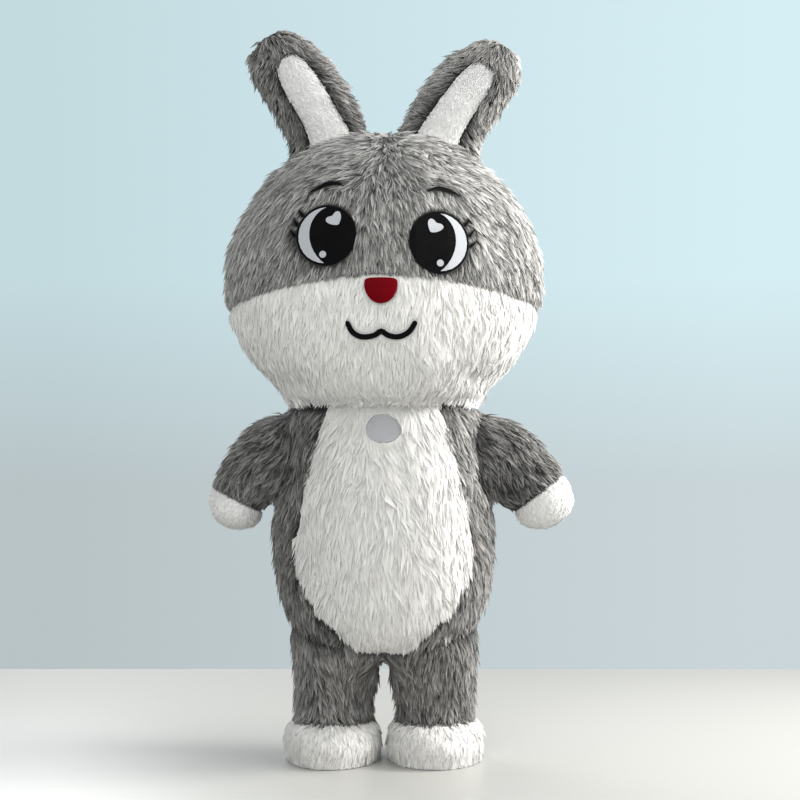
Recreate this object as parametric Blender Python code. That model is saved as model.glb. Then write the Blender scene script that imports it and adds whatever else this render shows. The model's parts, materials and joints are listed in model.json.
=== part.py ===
"""Inflatable rabbit costume in long-pile plush, filled out with air and standing on its own feet.

Metres, +Z up. The rabbit faces -Y. Left and right are the wearer's, so left is +X. The tables measure
from the point of the floor midway between the feet. Once all is made, it is moved so that the origin
lies on the floor under the middle of the whole outline, which is a little to the left of that point and
in front of it. The whole outer surface is one form, lofted through rings of points whose columns and
rows run along the seams. Each cut piece is the part of that form between its seams,
given the thickness of its cloth and pile, with GAP of air at every seam. What is sewn on a piece is made
from the form's own faces, moved out.
"""

from collections import namedtuple
from math import acos, atan2, cos, degrees, pi, radians, sin

import bmesh
import bpy
from mathutils import Matrix, Vector

COLLECTION = "inflatable_rabbit_costume"
GAP = 0.0003
MIDDLE_STEP = 0.0005
HALF = 16
SIDES = {"left": 1, "right": -1}

# Columns of the form, counted from the middle of the front round to the middle of the back
BELLY_EDGE_COLUMN = 6
ARMHOLE_COLUMNS = (8, 12)
SIDE_SEAM_COLUMN = 10
EAR_COLUMNS = (7, 9)

# Thickness of backing and lying pile together, colour, roughness
Cloth = namedtuple("Cloth", "wall colour roughness")
CLOTHS = {
    "grey_pile": Cloth(0.012, (0.16, 0.16, 0.17, 1), 0.9),
    "pale_grey_pile": Cloth(0.012, (0.27, 0.27, 0.28, 1), 0.9),
    "white_pile": Cloth(0.012, (0.82, 0.81, 0.79, 1), 0.9),
    "short_white_pile": Cloth(0.012, (0.86, 0.86, 0.85, 1), 0.85),
    "sole_cloth": Cloth(0.004, (0.10, 0.10, 0.11, 1), 0.8),
    "black_felt": Cloth(0.002, (0.008, 0.008, 0.009, 1), 0.7),
    "white_felt": Cloth(0.0015, (0.85, 0.85, 0.84, 1), 0.7),
    "red_satin": Cloth(0.006, (0.16, 0.005, 0.012, 1), 0.45),
    "window_mesh": Cloth(0.0012, (0.38, 0.38, 0.40, 1), 0.6),
    "zip_tape": Cloth(0.0012, (0.05, 0.05, 0.055, 1), 0.7),
    "metal": Cloth(0.0, (0.45, 0.45, 0.46, 1), 0.35),
    "plastic": Cloth(0.003, (0.03, 0.03, 0.032, 1), 0.5),
}

# Rings from the leg seam up to the neck. z_mid is at the middle of front and back, z_side at the sides.
# edge is the angle of the belly seam, fore and aft those of the armhole's columns.
BodyRow = namedtuple("BodyRow", "name z_mid z_side half_w front back edge fore aft")
BODY_ROWS = (
    BodyRow("crease", 0.455, 0.548, 0.392, 0.335, 0.330, 10.0, 38.0, 118.0),
    BodyRow("tuck", 0.495, 0.588, 0.403, 0.368, 0.352, 24.0, 48.0, 118.0),
    BodyRow("hip", 0.555, 0.637, 0.418, 0.388, 0.368, 39.0, 57.0, 118.0),
    BodyRow("seat", 0.630, 0.697, 0.433, 0.400, 0.379, 48.0, 64.0, 118.0),
    BodyRow("low_belly", 0.712, 0.762, 0.443, 0.407, 0.385, 52.0, 66.0, 118.0),
    BodyRow("belly", 0.797, 0.832, 0.448, 0.410, 0.387, 53.5, 67.0, 118.0),
    BodyRow("waist", 0.880, 0.900, 0.450, 0.408, 0.385, 53.0, 66.0, 118.0),
    BodyRow("rib", 0.960, 0.968, 0.450, 0.402, 0.380, 50.5, 65.0, 117.0),
    BodyRow("armpit", 1.035, 1.032, 0.448, 0.394, 0.374, 47.0, 72.0, 108.0),
    BodyRow("low_chest", 1.115, 1.112, 0.444, 0.384, 0.366, 44.5, 64.0, 116.0),
    BodyRow("chest", 1.195, 1.195, 0.435, 0.372, 0.356, 42.0, 61.0, 119.0),
    BodyRow("high_chest", 1.275, 1.275, 0.421, 0.357, 0.344, 38.5, 61.0, 119.0),
    BodyRow("shoulder", 1.345, 1.345, 0.403, 0.340, 0.330, 36.0, 64.0, 116.0),
    BodyRow("collar", 1.395, 1.395, 0.389, 0.326, 0.318, 34.8, 72.0, 108.0),
    BodyRow("neck", 1.425, 1.425, 0.381, 0.318, 0.310, 34.5, 66.0, 114.0),
)

# Rings of the head. even says how far the columns have left their places at the neck for equal spacing,
# ear is the angle between an ear's middle column and its neighbours.
HeadRow = namedtuple("HeadRow", "name z_mid z_side half_w front back even ear")
HEAD_ROWS = (
    HeadRow("chin_1", 1.437, 1.439, 0.413, 0.397, 0.364, 0.10, 11.25),
    HeadRow("chin_2", 1.475, 1.477, 0.441, 0.460, 0.410, 0.25, 11.25),
    HeadRow("jaw_1", 1.525, 1.527, 0.481, 0.510, 0.449, 0.45, 11.25),
    HeadRow("jaw_2", 1.587, 1.583, 0.522, 0.549, 0.484, 0.65, 11.25),
    HeadRow("cheek_1", 1.655, 1.642, 0.563, 0.579, 0.514, 0.85, 11.25),
    HeadRow("cheek_2", 1.735, 1.700, 0.596, 0.600, 0.539, 1.00, 11.25),
    HeadRow("cheek_3", 1.820, 1.757, 0.621, 0.611, 0.556, 1.00, 11.25),
    HeadRow("face_seam", 1.906, 1.815, 0.636, 0.612, 0.567, 1.00, 11.25),
    HeadRow("brow_1", 1.965, 1.885, 0.641, 0.609, 0.571, 1.00, 11.25),
    HeadRow("brow_2", 2.025, 1.962, 0.642, 0.600, 0.566, 1.00, 11.25),
    HeadRow("brow_3", 2.083, 2.043, 0.632, 0.586, 0.556, 1.00, 11.25),
    HeadRow("brow_4", 2.138, 2.128, 0.607, 0.566, 0.540, 1.00, 11.25),
    HeadRow("brow_5", 2.190, 2.215, 0.566, 0.543, 0.519, 1.00, 11.25),
    HeadRow("crown_seam", 2.238, 2.298, 0.507, 0.516, 0.495, 1.00, 11.25),
    HeadRow("crown_1", 2.330, 2.354, 0.454, 0.446, 0.430, 1.00, 10.0),
    HeadRow("ear_outer", 2.405, 2.400, 0.397, 0.364, 0.352, 1.00, 5.0),
    HeadRow("crown_2", 2.459, 2.457, 0.304, 0.276, 0.276, 1.00, 14.0),
    HeadRow("crown_3", 2.493, 2.493, 0.214, 0.195, 0.195, 1.00, 20.0),
    HeadRow("crown_4", 2.515, 2.515, 0.132, 0.121, 0.121, 1.00, 27.0),
    HeadRow("ear_inner", 2.526, 2.526, 0.058, 0.054, 0.054, 1.00, 20.0),
)
HEAD_TOP = 2.529

# Rings of an arm in the front view, from the shoulder down: its outer and inner edge, and half its depth.
# The last row is a point, where both edges meet.
ArmRow = namedtuple("ArmRow", "name outer_x outer_z inner_x inner_z half_d")
ARM_ROWS = {
    "left": (
        ArmRow("shoulder", 0.457, 1.404, 0.456, 1.027, 0.172),
        ArmRow("upper", 0.540, 1.364, 0.470, 1.018, 0.158),
        ArmRow("middle", 0.625, 1.296, 0.486, 1.011, 0.143),
        ArmRow("lower", 0.690, 1.226, 0.506, 1.006, 0.130),
        ArmRow("wrist", 0.728, 1.152, 0.527, 1.002, 0.121),
        ArmRow("palm", 0.764, 1.108, 0.531, 0.974, 0.128),
        ArmRow("hand", 0.777, 1.042, 0.556, 0.940, 0.124),
        ArmRow("fingers", 0.752, 0.983, 0.606, 0.925, 0.090),
        ArmRow("tip", 0.686, 0.933, 0.686, 0.933, 0.0),
    ),
    "right": (
        ArmRow("shoulder", 0.457, 1.404, 0.456, 1.027, 0.172),
        ArmRow("upper", 0.531, 1.360, 0.467, 1.017, 0.157),
        ArmRow("middle", 0.603, 1.286, 0.478, 1.010, 0.141),
        ArmRow("lower", 0.664, 1.200, 0.488, 1.006, 0.127),
        ArmRow("wrist", 0.707, 1.097, 0.499, 1.004, 0.116),
        ArmRow("palm", 0.716, 1.046, 0.497, 0.977, 0.122),
        ArmRow("hand", 0.704, 0.990, 0.514, 0.948, 0.112),
        ArmRow("fingers", 0.673, 0.950, 0.560, 0.929, 0.076),
        ArmRow("tip", 0.617, 0.924, 0.617, 0.924, 0.0),
    ),
}

# Rings of a leg. down runs from 0 at the crease to 1 at the ankle, roundness from the crease's shape to
# the leg's own oval.
LegRow = namedtuple("LegRow", "down roundness half_w front back")
LEG_X = 0.205
LEG_ROWS = (
    LegRow(0.15, 0.52, 0.182, 0.232, 0.222),
    LegRow(0.34, 0.88, 0.175, 0.214, 0.207),
    LegRow(0.56, 1.00, 0.168, 0.203, 0.194),
    LegRow(0.78, 1.00, 0.163, 0.196, 0.184),
    LegRow(1.00, 1.00, 0.166, 0.196, 0.180),
)
# Legs and feet count their points from this angle, which is where the crotch line meets the front
LEG_START = radians(-30.0)
CROTCH_STEPS = 8
CROTCH_DIP = 0.070
CROTCH_FULLNESS = 0.8
ANKLE_Z = 0.163

FootRow = namedtuple("FootRow", "z half_w front back")
FOOT_X = 0.2065
FOOT_ROWS = (
    FootRow(0.148, 0.187, 0.247, 0.190),
    FootRow(0.115, 0.200, 0.293, 0.203),
    FootRow(0.070, 0.2035, 0.312, 0.208),
    FootRow(0.030, 0.200, 0.306, 0.204),
    FootRow(0.0, 0.186, 0.288, 0.190),
)
SOLE_RING_SHARE = 0.55

# Rings of an ear, by their share of its length: its widths from the axis outwards and inwards, half its
# depth, and half the width of the white inner panel
EarRow = namedtuple("EarRow", "share outer_w inner_w half_d panel_w")
EAR_ROWS = (
    EarRow(0.165, 0.163, 0.160, 0.064, 0.077),
    EarRow(0.325, 0.161, 0.168, 0.068, 0.077),
    EarRow(0.485, 0.163, 0.164, 0.068, 0.076),
    EarRow(0.640, 0.165, 0.148, 0.063, 0.068),
    EarRow(0.765, 0.162, 0.132, 0.056, 0.036),
    EarRow(0.870, 0.146, 0.108, 0.046, 0.030),
    EarRow(0.940, 0.110, 0.066, 0.034, 0.022),
    EarRow(0.980, 0.066, 0.034, 0.020, 0.013),
)
Ear = namedtuple("Ear", "base_x base_z lean length")
EARS = {
    "left": Ear(0.196, 2.485, radians(34.3), 0.512),
    "right": Ear(0.196, 2.485, radians(30.2), 0.535),
}
EAR_COLUMNS_ROUND = 12
EAR_INNER_ROWS = 5

# Flat pieces in the front view. turn is counter-clockwise for who looks at the face.
Oval = namedtuple("Oval", "x z half_w half_h turn")
EYES = {
    "left": Oval(0.212, 2.024, 0.112, 0.119, radians(8.0)),
    "right": Oval(-0.212, 2.051, 0.113, 0.116, radians(-10.0)),
}
CRESCENT_RIM = 0.008
CRESCENT_WIDTH = 0.041
CRESCENT_TOP = radians(80.0)
CRESCENT_BOTTOM = radians(-97.0)
CRESCENT_HALF_ARC = radians(60.0)
HEART_SIZE = 0.031
HEART_POINT = 0.55
HEART_TALL = 0.78
HEART_NOTCH = 0.24
HEART_LOBES = 0.09
HEART_PLACE = {"left": (-0.017, 0.061), "right": (0.031, 0.062)}
HEART_TURN = {"left": radians(-30.0), "right": radians(33.0)}
SPOT_RADIUS = 0.0132
SPOT_PLACE = {"left": (0.003, -0.080), "right": (-0.011, -0.074)}
# A lash starts on the eye's rim at place, and leans by lean. Both count in degrees from straight outwards.
Lash = namedtuple("Lash", "place lean length")
LASHES = {
    "left": (Lash(34.0, 56.0, 0.028), Lash(14.0, 52.0, 0.031), Lash(-5.0, 41.0, 0.033)),
    "right": (Lash(41.0, 56.0, 0.026), Lash(22.0, 59.0, 0.026), Lash(2.0, 50.0, 0.029)),
}
LASH_WIDTH = (0.013, 0.0030)
# Points (x, z, width) of the brows and the mouth
BROWS = {
    "left": ((0.167, 2.224, 0.004), (0.209, 2.239, 0.012), (0.255, 2.230, 0.012), (0.291, 2.210, 0.004)),
    "right": ((-0.273, 2.227, 0.004), (-0.235, 2.247, 0.012), (-0.189, 2.259, 0.012), (-0.146, 2.245, 0.004)),
}
NOSE = Oval(-0.006, 1.839, 0.062, 0.048, 0.0)
MOUTH = (
    (-0.130, 1.719, 0.019),
    (-0.114, 1.689, 0.020),
    (-0.088, 1.672, 0.020),
    (-0.058, 1.669, 0.020),
    (-0.028, 1.676, 0.020),
    (-0.005, 1.690, 0.020),
    (0.017, 1.676, 0.020),
    (0.047, 1.669, 0.020),
    (0.076, 1.674, 0.020),
    (0.102, 1.691, 0.020),
    (0.120, 1.720, 0.019),
)
# The nose is widest near its top. Above that it has blunt corners, and below it is half an oval.
NOSE_WIDEST = 0.50
NOSE_BLUNTNESS = 0.52
OUTLINE_STEPS = 28
FACE_REACH = (-0.46, 0.46, 1.60, 2.36)
# y ranges of the bars that cut outlines out of the front and out of the back
FRONT_CUT = (-0.80, 0.0)
BACK_CUT = (0.0, 0.80)

# The oval window in the throat, let into a hole in the belly panel
WINDOW = Oval(0.0, 1.332, 0.072, 0.057, 0.0)
WINDOW_SINK = 0.008
WINDOW_REACH = (-0.15, 0.15, 1.22, 1.43)

# Zip in the back seam, closed, with its slider at the top
ZIP_Z = (0.62, 1.375)
ZIP_HALF_WIDTH = 0.014
ZIP_REACH = (-0.10, 0.10, 0.55, 1.43)
SLIDER_Z = (1.275, 1.345)
SLIDER_SIZE = (0.014, 0.024, 0.006)
BRIDGE_SIZE = (0.0028, 0.013, 0.0060)
BRIDGE_HOLE = (0.007, 0.0032)
TAB_SIZE = (0.010, 0.038, 0.0016)
TAB_SLOT = (0.0046, 0.0080)
TAB_BAR = 0.0018

# The blower sits low in the right back panel
BLOWER_Z = 0.735
BLOWER_ANGLE = radians(148.0)
DUCT_OUTER = 0.0500
DUCT_INNER = 0.0465
DUCT_LENGTH = 0.062
DUCT_PROUD = 0.007
FLANGE_OUTER = 0.066
GRILLE_RINGS = (0.014, 0.030)
GRILLE_BAR = 0.0025
ROTOR_RADIUS = 0.043
ROTOR_HUB = 0.016
ROTOR_BLADES = 5
ROTOR_DEPTH = 0.020
BLADE_THICKNESS = 0.0016
BLADE_PITCH = radians(38.0)
MOTOR_RADIUS = 0.018
MOTOR_LENGTH = 0.020
MOTOR_SPOKES = 3
MOTOR_SPOKE_SIZE = (0.005, 0.006)
GRILLE_RIM = 0.004
GRILLE_SPOKES = 6
ROUND_STEPS = 32
SMALL_ROUND_STEPS = 16
GRILLE_STEPS = 20
# Faces of the form within these limits lie round the blower
BLOWER_REACH = 0.10
BLOWER_SECTOR = 0.25


def clear_scene():
    for obj in list(bpy.data.objects):
        bpy.data.objects.remove(obj)


def lerp(a, b, share):
    return a + (b - a) * share


def spread(keys, column):
    """The angle in degrees of a column, from pairs (column, angle) that it lies between."""
    for (c0, a0), (c1, a1) in zip(keys, keys[1:]):
        if column <= c1:
            return lerp(a0, a1, (column - c0) / (c1 - c0))
    return keys[-1][1]


def body_angle(row, column):
    keys = (
        (0, 0.0),
        (BELLY_EDGE_COLUMN, row.edge),
        (ARMHOLE_COLUMNS[0], row.fore),
        (SIDE_SEAM_COLUMN, 90.0),
        (ARMHOLE_COLUMNS[1], row.aft),
        (HALF, 180.0),
    )
    return spread(keys, column)


def head_angle(row, column):
    middle = sum(EAR_COLUMNS) // 2
    keys = (
        (0, 0.0),
        (EAR_COLUMNS[0], 90.0 - row.ear),
        (middle, 90.0),
        (EAR_COLUMNS[1], 90.0 + row.ear),
        (HALF, 180.0),
    )
    return lerp(body_angle(BODY_ROWS[-1], column), spread(keys, column), row.even)


def oval_point(row, angle, sign):
    """A point of a body or head ring. The angle runs from the front round to the back."""
    x = sign * row.half_w * sin(angle)
    depth = row.front if cos(angle) > 0 else row.back
    z = lerp(row.z_mid, row.z_side, sin(angle) ** 2)
    return Vector((x, -depth * cos(angle), z))


class Form:
    """The whole outer surface, with the piece that each face belongs to."""

    def __init__(self):
        self.bm = bmesh.new()
        self.piece_layer = self.bm.faces.layers.int.new("piece")
        self.pieces = []

    def point(self, co):
        return self.bm.verts.new(co)

    def face(self, corners, piece):
        if piece not in self.pieces:
            self.pieces.append(piece)
        face = self.bm.faces.new(corners)
        face[self.piece_layer] = self.pieces.index(piece)

    def loft(self, ring_a, ring_b, piece_at):
        """Joins two closed rings of as many points. piece_at gives each cell's piece, or None."""
        count = len(ring_a)
        for i in range(count):
            j = (i + 1) % count
            piece = piece_at(i)
            if piece:
                self.face((ring_a[i], ring_a[j], ring_b[j], ring_b[i]), piece)

    def close(self, ring, tip, piece_at):
        count = len(ring)
        for i in range(count):
            self.face((ring[i], ring[(i + 1) % count], tip), piece_at(i))

    def finish(self):
        bmesh.ops.recalc_face_normals(self.bm, faces=self.bm.faces)
        self.bm.normal_update()
        self.normals = {v: v.normal.copy() for v in self.bm.verts}
        bmesh.ops.triangulate(self.bm, faces=self.bm.faces, quad_method="SHORT_EDGE")
        self.bm.verts.index_update()

    def faces_of(self, piece):
        index = self.pieces.index(piece)
        return [f for f in self.bm.faces if f[self.piece_layer] == index]


def cell_place(i):
    """Side and column of the ring's cell number i."""
    return ("left", i) if i < HALF else ("right", 2 * HALF - 1 - i)


def full_ring(form, row, angle_of):
    ring = []
    for i in range(2 * HALF):
        sign = 1 if i <= HALF else -1
        column = i if i <= HALF else 2 * HALF - i
        ring.append(form.point(oval_point(row, radians(angle_of(row, column)), sign)))
    return ring


def ring_vertex(ring, side, column):
    return ring[column if side == "left" else -column % (2 * HALF)]


def body_piece(name, i):
    side, column = cell_place(i)
    armhole = ARMHOLE_COLUMNS[0] <= column < ARMHOLE_COLUMNS[1]
    if armhole and name in ARMHOLE_ROWS:
        return None
    if column < BELLY_EDGE_COLUMN:
        return "belly"
    return f"{side}_side" if column < SIDE_SEAM_COLUMN else f"{side}_back"


def head_piece(name, i):
    side, column = cell_place(i)
    if name in CROWN_ROWS:
        ear = EAR_COLUMNS[0] <= column < EAR_COLUMNS[1]
        return None if ear and name in EAR_BLOCK_ROWS else f"{side}_crown"
    if column >= SIDE_SEAM_COLUMN:
        return f"{side}_head_back"
    return "face" if name in FACE_ROWS else "forehead"


BODY_NAMES = [row.name for row in BODY_ROWS]
HEAD_NAMES = [row.name for row in HEAD_ROWS]
ARMHOLE_ROWS = BODY_NAMES[BODY_NAMES.index("armpit") : BODY_NAMES.index("collar")]
FACE_ROWS = ["neck"] + HEAD_NAMES[: HEAD_NAMES.index("face_seam")]
CROWN_ROWS = HEAD_NAMES[HEAD_NAMES.index("crown_seam") :]
EAR_BLOCK_ROWS = HEAD_NAMES[HEAD_NAMES.index("ear_outer") : -1]


def add_trunk_and_head(form):
    rings = {}
    for row in BODY_ROWS:
        rings[row.name] = full_ring(form, row, body_angle)
    for row in HEAD_ROWS:
        rings[row.name] = full_ring(form, row, head_angle)
    for lower, upper in zip(BODY_NAMES, BODY_NAMES[1:]):
        form.loft(rings[lower], rings[upper], lambda i, name=lower: body_piece(name, i))
    names = ["neck"] + HEAD_NAMES
    for lower, upper in zip(names, names[1:]):
        form.loft(rings[lower], rings[upper], lambda i, name=lower: head_piece(name, i))
    top = form.point((0, 0, HEAD_TOP))
    form.close(rings[names[-1]], top, lambda i: head_piece(names[-1], i))
    return rings


def hole_ring(rings, side, names, columns):
    """The points round a block of cells: from the middle of its last row, down the front, along the first
    row and up the back."""
    first, last = columns
    middle = (first + last) // 2
    rows = [rings[name] for name in names]
    path = [(rows[-1], c) for c in range(middle, first, -1)]
    path += [(row, first) for row in reversed(rows)]
    path += [(rows[0], c) for c in range(first + 1, last)]
    path += [(row, last) for row in rows]
    path += [(rows[-1], c) for c in range(last - 1, middle, -1)]
    return [ring_vertex(ring, side, c) for ring, c in path]


def add_arm(form, rings, side):
    sign = SIDES[side]
    names = ARMHOLE_ROWS + ["collar"]
    ring = hole_ring(rings, side, names, ARMHOLE_COLUMNS)
    count = len(ring)
    piece = f"{side}_sleeve"
    for row in ARM_ROWS[side][:-1]:
        outer = Vector((sign * row.outer_x, 0, row.outer_z))
        inner = Vector((sign * row.inner_x, 0, row.inner_z))
        middle = (outer + inner) / 2
        across = (outer - inner) / 2
        new = []
        for i in range(count):
            angle = 2 * pi * i / count
            depth = Vector((0, -row.half_d * sin(angle), 0))
            new.append(form.point(middle + across * cos(angle) + depth))
        form.loft(ring, new, lambda i, name=piece: name)
        ring = new
        if row.name == "wrist":
            piece = f"{side}_mitt"
    tip = ARM_ROWS[side][-1]
    form.close(ring, form.point((sign * tip.outer_x, 0, tip.outer_z)), lambda i: piece)


def ear_angles(row):
    """Angles round an ear from its outer edge over the front, with the inner panel's edges in place."""
    count = EAR_COLUMNS_ROUND // 2
    middle = count // 2
    outer_edge = degrees(acos(row.panel_w / row.outer_w))
    inner_edge = 180.0 - degrees(acos(row.panel_w / row.inner_w))
    keys = ((0, 0.0), (middle - 1, outer_edge), (middle, 90.0), (middle + 1, inner_edge), (count, 180.0))
    front = [spread(keys, i) for i in range(count + 1)]
    back = [180.0 + 180.0 * i / count for i in range(1, count)]
    return [radians(a) for a in front + back]


def ear_piece(side, row_number, i):
    front = i < EAR_COLUMNS_ROUND // 2
    middle = EAR_COLUMNS_ROUND // 4
    if front and i in (middle - 1, middle) and row_number < EAR_INNER_ROWS:
        return f"{side}_ear_inner"
    return f"{side}_ear_front" if front else f"{side}_ear_back"


def add_ear(form, rings, side):
    sign = SIDES[side]
    names = EAR_BLOCK_ROWS + ["ear_inner"]
    ring = hole_ring(rings, side, names, EAR_COLUMNS)
    # The hole's points start at the inner end. An ear's start at its outer end and go over the front.
    half = len(ring) // 2
    ring = [ring[(half - i) % len(ring)] for i in range(len(ring))]
    ear = EARS[side]
    base = Vector((sign * ear.base_x, 0, ear.base_z))
    axis = Vector((sign * sin(ear.lean), 0, cos(ear.lean)))
    outwards = Vector((sign * cos(ear.lean), 0, -sin(ear.lean)))
    for number, row in enumerate(EAR_ROWS):
        new = []
        for angle in ear_angles(row):
            width = row.outer_w if cos(angle) > 0 else row.inner_w
            across = outwards * (width * cos(angle))
            depth = Vector((0, -row.half_d * sin(angle), 0))
            new.append(form.point(base + axis * (ear.length * row.share) + across + depth))
        form.loft(ring, new, lambda i, n=number: ear_piece(side, n, i))
        ring = new
    tip = form.point(base + axis * ear.length)
    form.close(ring, tip, lambda i: ear_piece(side, len(EAR_ROWS), i))


def crotch_line(form, rings):
    """Points from the middle of the back to the middle of the front, shared by both legs."""
    start = rings["crease"][HALF].co
    end = rings["crease"][0].co
    points = []
    for k in range(1, CROTCH_STEPS):
        share = k / CROTCH_STEPS
        dip = Vector((0, 0, -CROTCH_DIP * sin(pi * share) ** CROTCH_FULLNESS))
        points.append(form.point(start.lerp(end, share) + dip))
    return points


def oval_turn(co, row, middle_x):
    """The angle of a point round a leg's oval, from its front over the outer side."""
    depth = row.front if co.y < 0 else row.back
    return atan2((abs(co.x) - middle_x) / row.half_w, -co.y / depth)


def add_leg(form, rings, side, crotch):
    sign = SIDES[side]
    top = [ring_vertex(rings["crease"], side, c) for c in range(HALF + 1)] + crotch
    count = len(top)
    first = top[0].co
    ring = top
    for row in LEG_ROWS:
        start = oval_turn(first, row, LEG_X)
        new = []
        for i, vertex in enumerate(top):
            own = oval_turn(vertex.co, row, LEG_X)
            if own < start - 1e-6:
                own += 2 * pi
            even = LEG_START + 2 * pi * i / count
            turn = lerp(own, even, row.down)
            depth = row.front if cos(turn) > 0 else row.back
            oval = Vector((sign * (LEG_X + row.half_w * sin(turn)), -depth * cos(turn), 0))
            co = vertex.co.lerp(oval, row.roundness)
            co.z = lerp(vertex.co.z, ANKLE_Z, row.down)
            new.append(form.point(co))
        form.loft(ring, new, lambda i: f"{side}_leg")
        ring = new
    add_foot(form, ring, side)


def add_foot(form, ring, side):
    sign = SIDES[side]
    count = len(ring)
    for row in FOOT_ROWS:
        new = []
        for i in range(count):
            turn = LEG_START + 2 * pi * i / count
            depth = row.front if cos(turn) > 0 else row.back
            new.append(form.point((sign * (FOOT_X + row.half_w * sin(turn)), -depth * cos(turn), row.z)))
        form.loft(ring, new, lambda i: f"{side}_foot")
        ring = new
    middle = sum((v.co for v in ring), Vector()) / count
    inner = [form.point(middle.lerp(v.co, SOLE_RING_SHARE)) for v in ring]
    form.loft(ring, inner, lambda i: f"{side}_sole")
    form.close(inner, form.point(middle), lambda i: f"{side}_sole")


PIECE_CLOTH = {
    "belly": "white_pile",
    "face": "white_pile",
    "forehead": "pale_grey_pile",
    "crown": "pale_grey_pile",
    "head_back": "pale_grey_pile",
    "side": "grey_pile",
    "back": "grey_pile",
    "sleeve": "grey_pile",
    "leg": "grey_pile",
    "mitt": "short_white_pile",
    "foot": "white_pile",
    "sole": "sole_cloth",
    "ear_front": "grey_pile",
    "ear_back": "grey_pile",
    "ear_inner": "short_white_pile",
}


def cloth_of(piece):
    kind = piece.removeprefix("left_").removeprefix("right_")
    return PIECE_CLOTH[kind]


def seam_shifts(form, faces):
    """How far each point on a piece's edge moves into the piece, so that half the gap opens there."""
    own = set(faces)
    sums = {}
    for face in faces:
        for edge in face.edges:
            if sum(f in own for f in edge.link_faces) != 1:
                continue
            a, b = edge.verts
            up = (form.normals[a] + form.normals[b]).normalized()
            inwards = (b.co - a.co).cross(up).normalized()
            if inwards.dot(face.calc_center_median() - a.co) < 0:
                inwards.negate()
            for vertex in edge.verts:
                sums.setdefault(vertex, []).append(inwards)
    shifts = {}
    for vertex, ways in sums.items():
        mitre = sum(ways, Vector())
        if len(ways) > 1:
            mitre /= 1 + ways[0].dot(ways[1])
        shifts[vertex] = mitre * (GAP / 2)
    return shifts


def slab(form, faces, outer, inner, seams=True):
    """A closed wall over these faces, from outer to inner metres along each point's normal."""
    shifts = seam_shifts(form, faces) if seams else {}
    own = set(faces)
    bm = bmesh.new()
    tops = {}
    bottoms = {}
    for face in faces:
        for v in face.verts:
            if v in tops:
                continue
            co = v.co + shifts.get(v, Vector())
            tops[v] = bm.verts.new(co + form.normals[v] * outer)
            bottoms[v] = bm.verts.new(co + form.normals[v] * inner)
    for face in faces:
        bm.faces.new([tops[v] for v in face.verts])
        bm.faces.new([bottoms[v] for v in reversed(face.verts)])
        for loop in face.loops:
            if sum(f in own for f in loop.edge.link_faces) != 1:
                continue
            a = loop.vert
            b = loop.link_loop_next.vert
            # Both neighbours of a seam split its side along the same diagonal
            if a.index < b.index:
                bm.faces.new((tops[b], tops[a], bottoms[b]))
                bm.faces.new((bottoms[b], tops[a], bottoms[a]))
            else:
                bm.faces.new((tops[b], tops[a], bottoms[a]))
                bm.faces.new((tops[b], bottoms[a], bottoms[b]))
    return bm


def material(name):
    found = bpy.data.materials.get(name)
    if found:
        return found
    cloth = CLOTHS[name]
    mat = bpy.data.materials.new(name)
    mat.use_nodes = True
    shader = mat.node_tree.nodes["Principled BSDF"]
    shader.inputs["Base Color"].default_value = cloth.colour
    shader.inputs["Roughness"].default_value = cloth.roughness
    shader.inputs["Metallic"].default_value = 1.0 if name == "metal" else 0.0
    mat.diffuse_color = cloth.colour
    return mat


def add_object(name, bm, cloth, collection):
    mesh = bpy.data.meshes.new(name)
    bm.to_mesh(mesh)
    bm.free()
    obj = bpy.data.objects.new(name, mesh)
    collection.objects.link(obj)
    mesh.materials.append(material(cloth))
    return obj


def hide_cutter(obj):
    obj.hide_render = True
    obj.display_type = "WIRE"


def boolean(obj, operation, other):
    modifier = obj.modifiers.new(operation.lower(), "BOOLEAN")
    modifier.operation = operation
    modifier.solver = "EXACT"
    modifier.object = other


def prism(name, outline, y_range, cutters):
    """A closed bar with this outline of (x, z) in the front view, from one y to the other."""
    bm = bmesh.new()
    near, far = y_range
    base = bm.faces.new([bm.verts.new((x, near, z)) for x, z in outline])
    grown = bmesh.ops.extrude_face_region(bm, geom=[base])
    moved = [v for v in grown["geom"] if isinstance(v, bmesh.types.BMVert)]
    bmesh.ops.translate(bm, verts=moved, vec=(0, far - near, 0))
    bmesh.ops.recalc_face_normals(bm, faces=bm.faces)
    obj = add_object(name + "_outline", bm, "metal", cutters)
    hide_cutter(obj)
    return obj


def turned(points, place):
    """The points turned and moved to a place on the face."""
    c = cos(place.turn)
    s = sin(place.turn)
    return [(place.x + x * c - z * s, place.z + x * s + z * c) for x, z in points]


def oval_outline(place, grow=0.0):
    points = []
    for i in range(OUTLINE_STEPS):
        angle = 2 * pi * (i + 0.5) / OUTLINE_STEPS
        points.append(((place.half_w + grow) * cos(angle), (place.half_h + grow) * sin(angle)))
    return turned(points, place)


def crescent_outline(place, outwards):
    """The white of the eye: an arc inside the eye's rim on its outer side, and a flatter arc back."""
    steps = OUTLINE_STEPS // 2
    w = place.half_w - CRESCENT_RIM
    h = place.half_h - CRESCENT_RIM
    points = []
    for i in range(steps + 1):
        angle = lerp(CRESCENT_BOTTOM, CRESCENT_TOP, i / steps)
        points.append((w * cos(angle), h * sin(angle)))
    low = Vector(points[0])
    high = Vector(points[-1])
    middle = (low + high) / 2
    bulge = Vector((w - CRESCENT_WIDTH - middle.x, 0))
    for i in range(steps - 1, 0, -1):
        angle = lerp(-CRESCENT_HALF_ARC, CRESCENT_HALF_ARC, i / steps)
        along = sin(angle) / sin(CRESCENT_HALF_ARC)
        out = (cos(angle) - cos(CRESCENT_HALF_ARC)) / (1 - cos(CRESCENT_HALF_ARC))
        points.append(middle + (high - low) / 2 * along + bulge * out)
    return turned([(outwards * x, z) for x, z in points], place)


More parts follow.
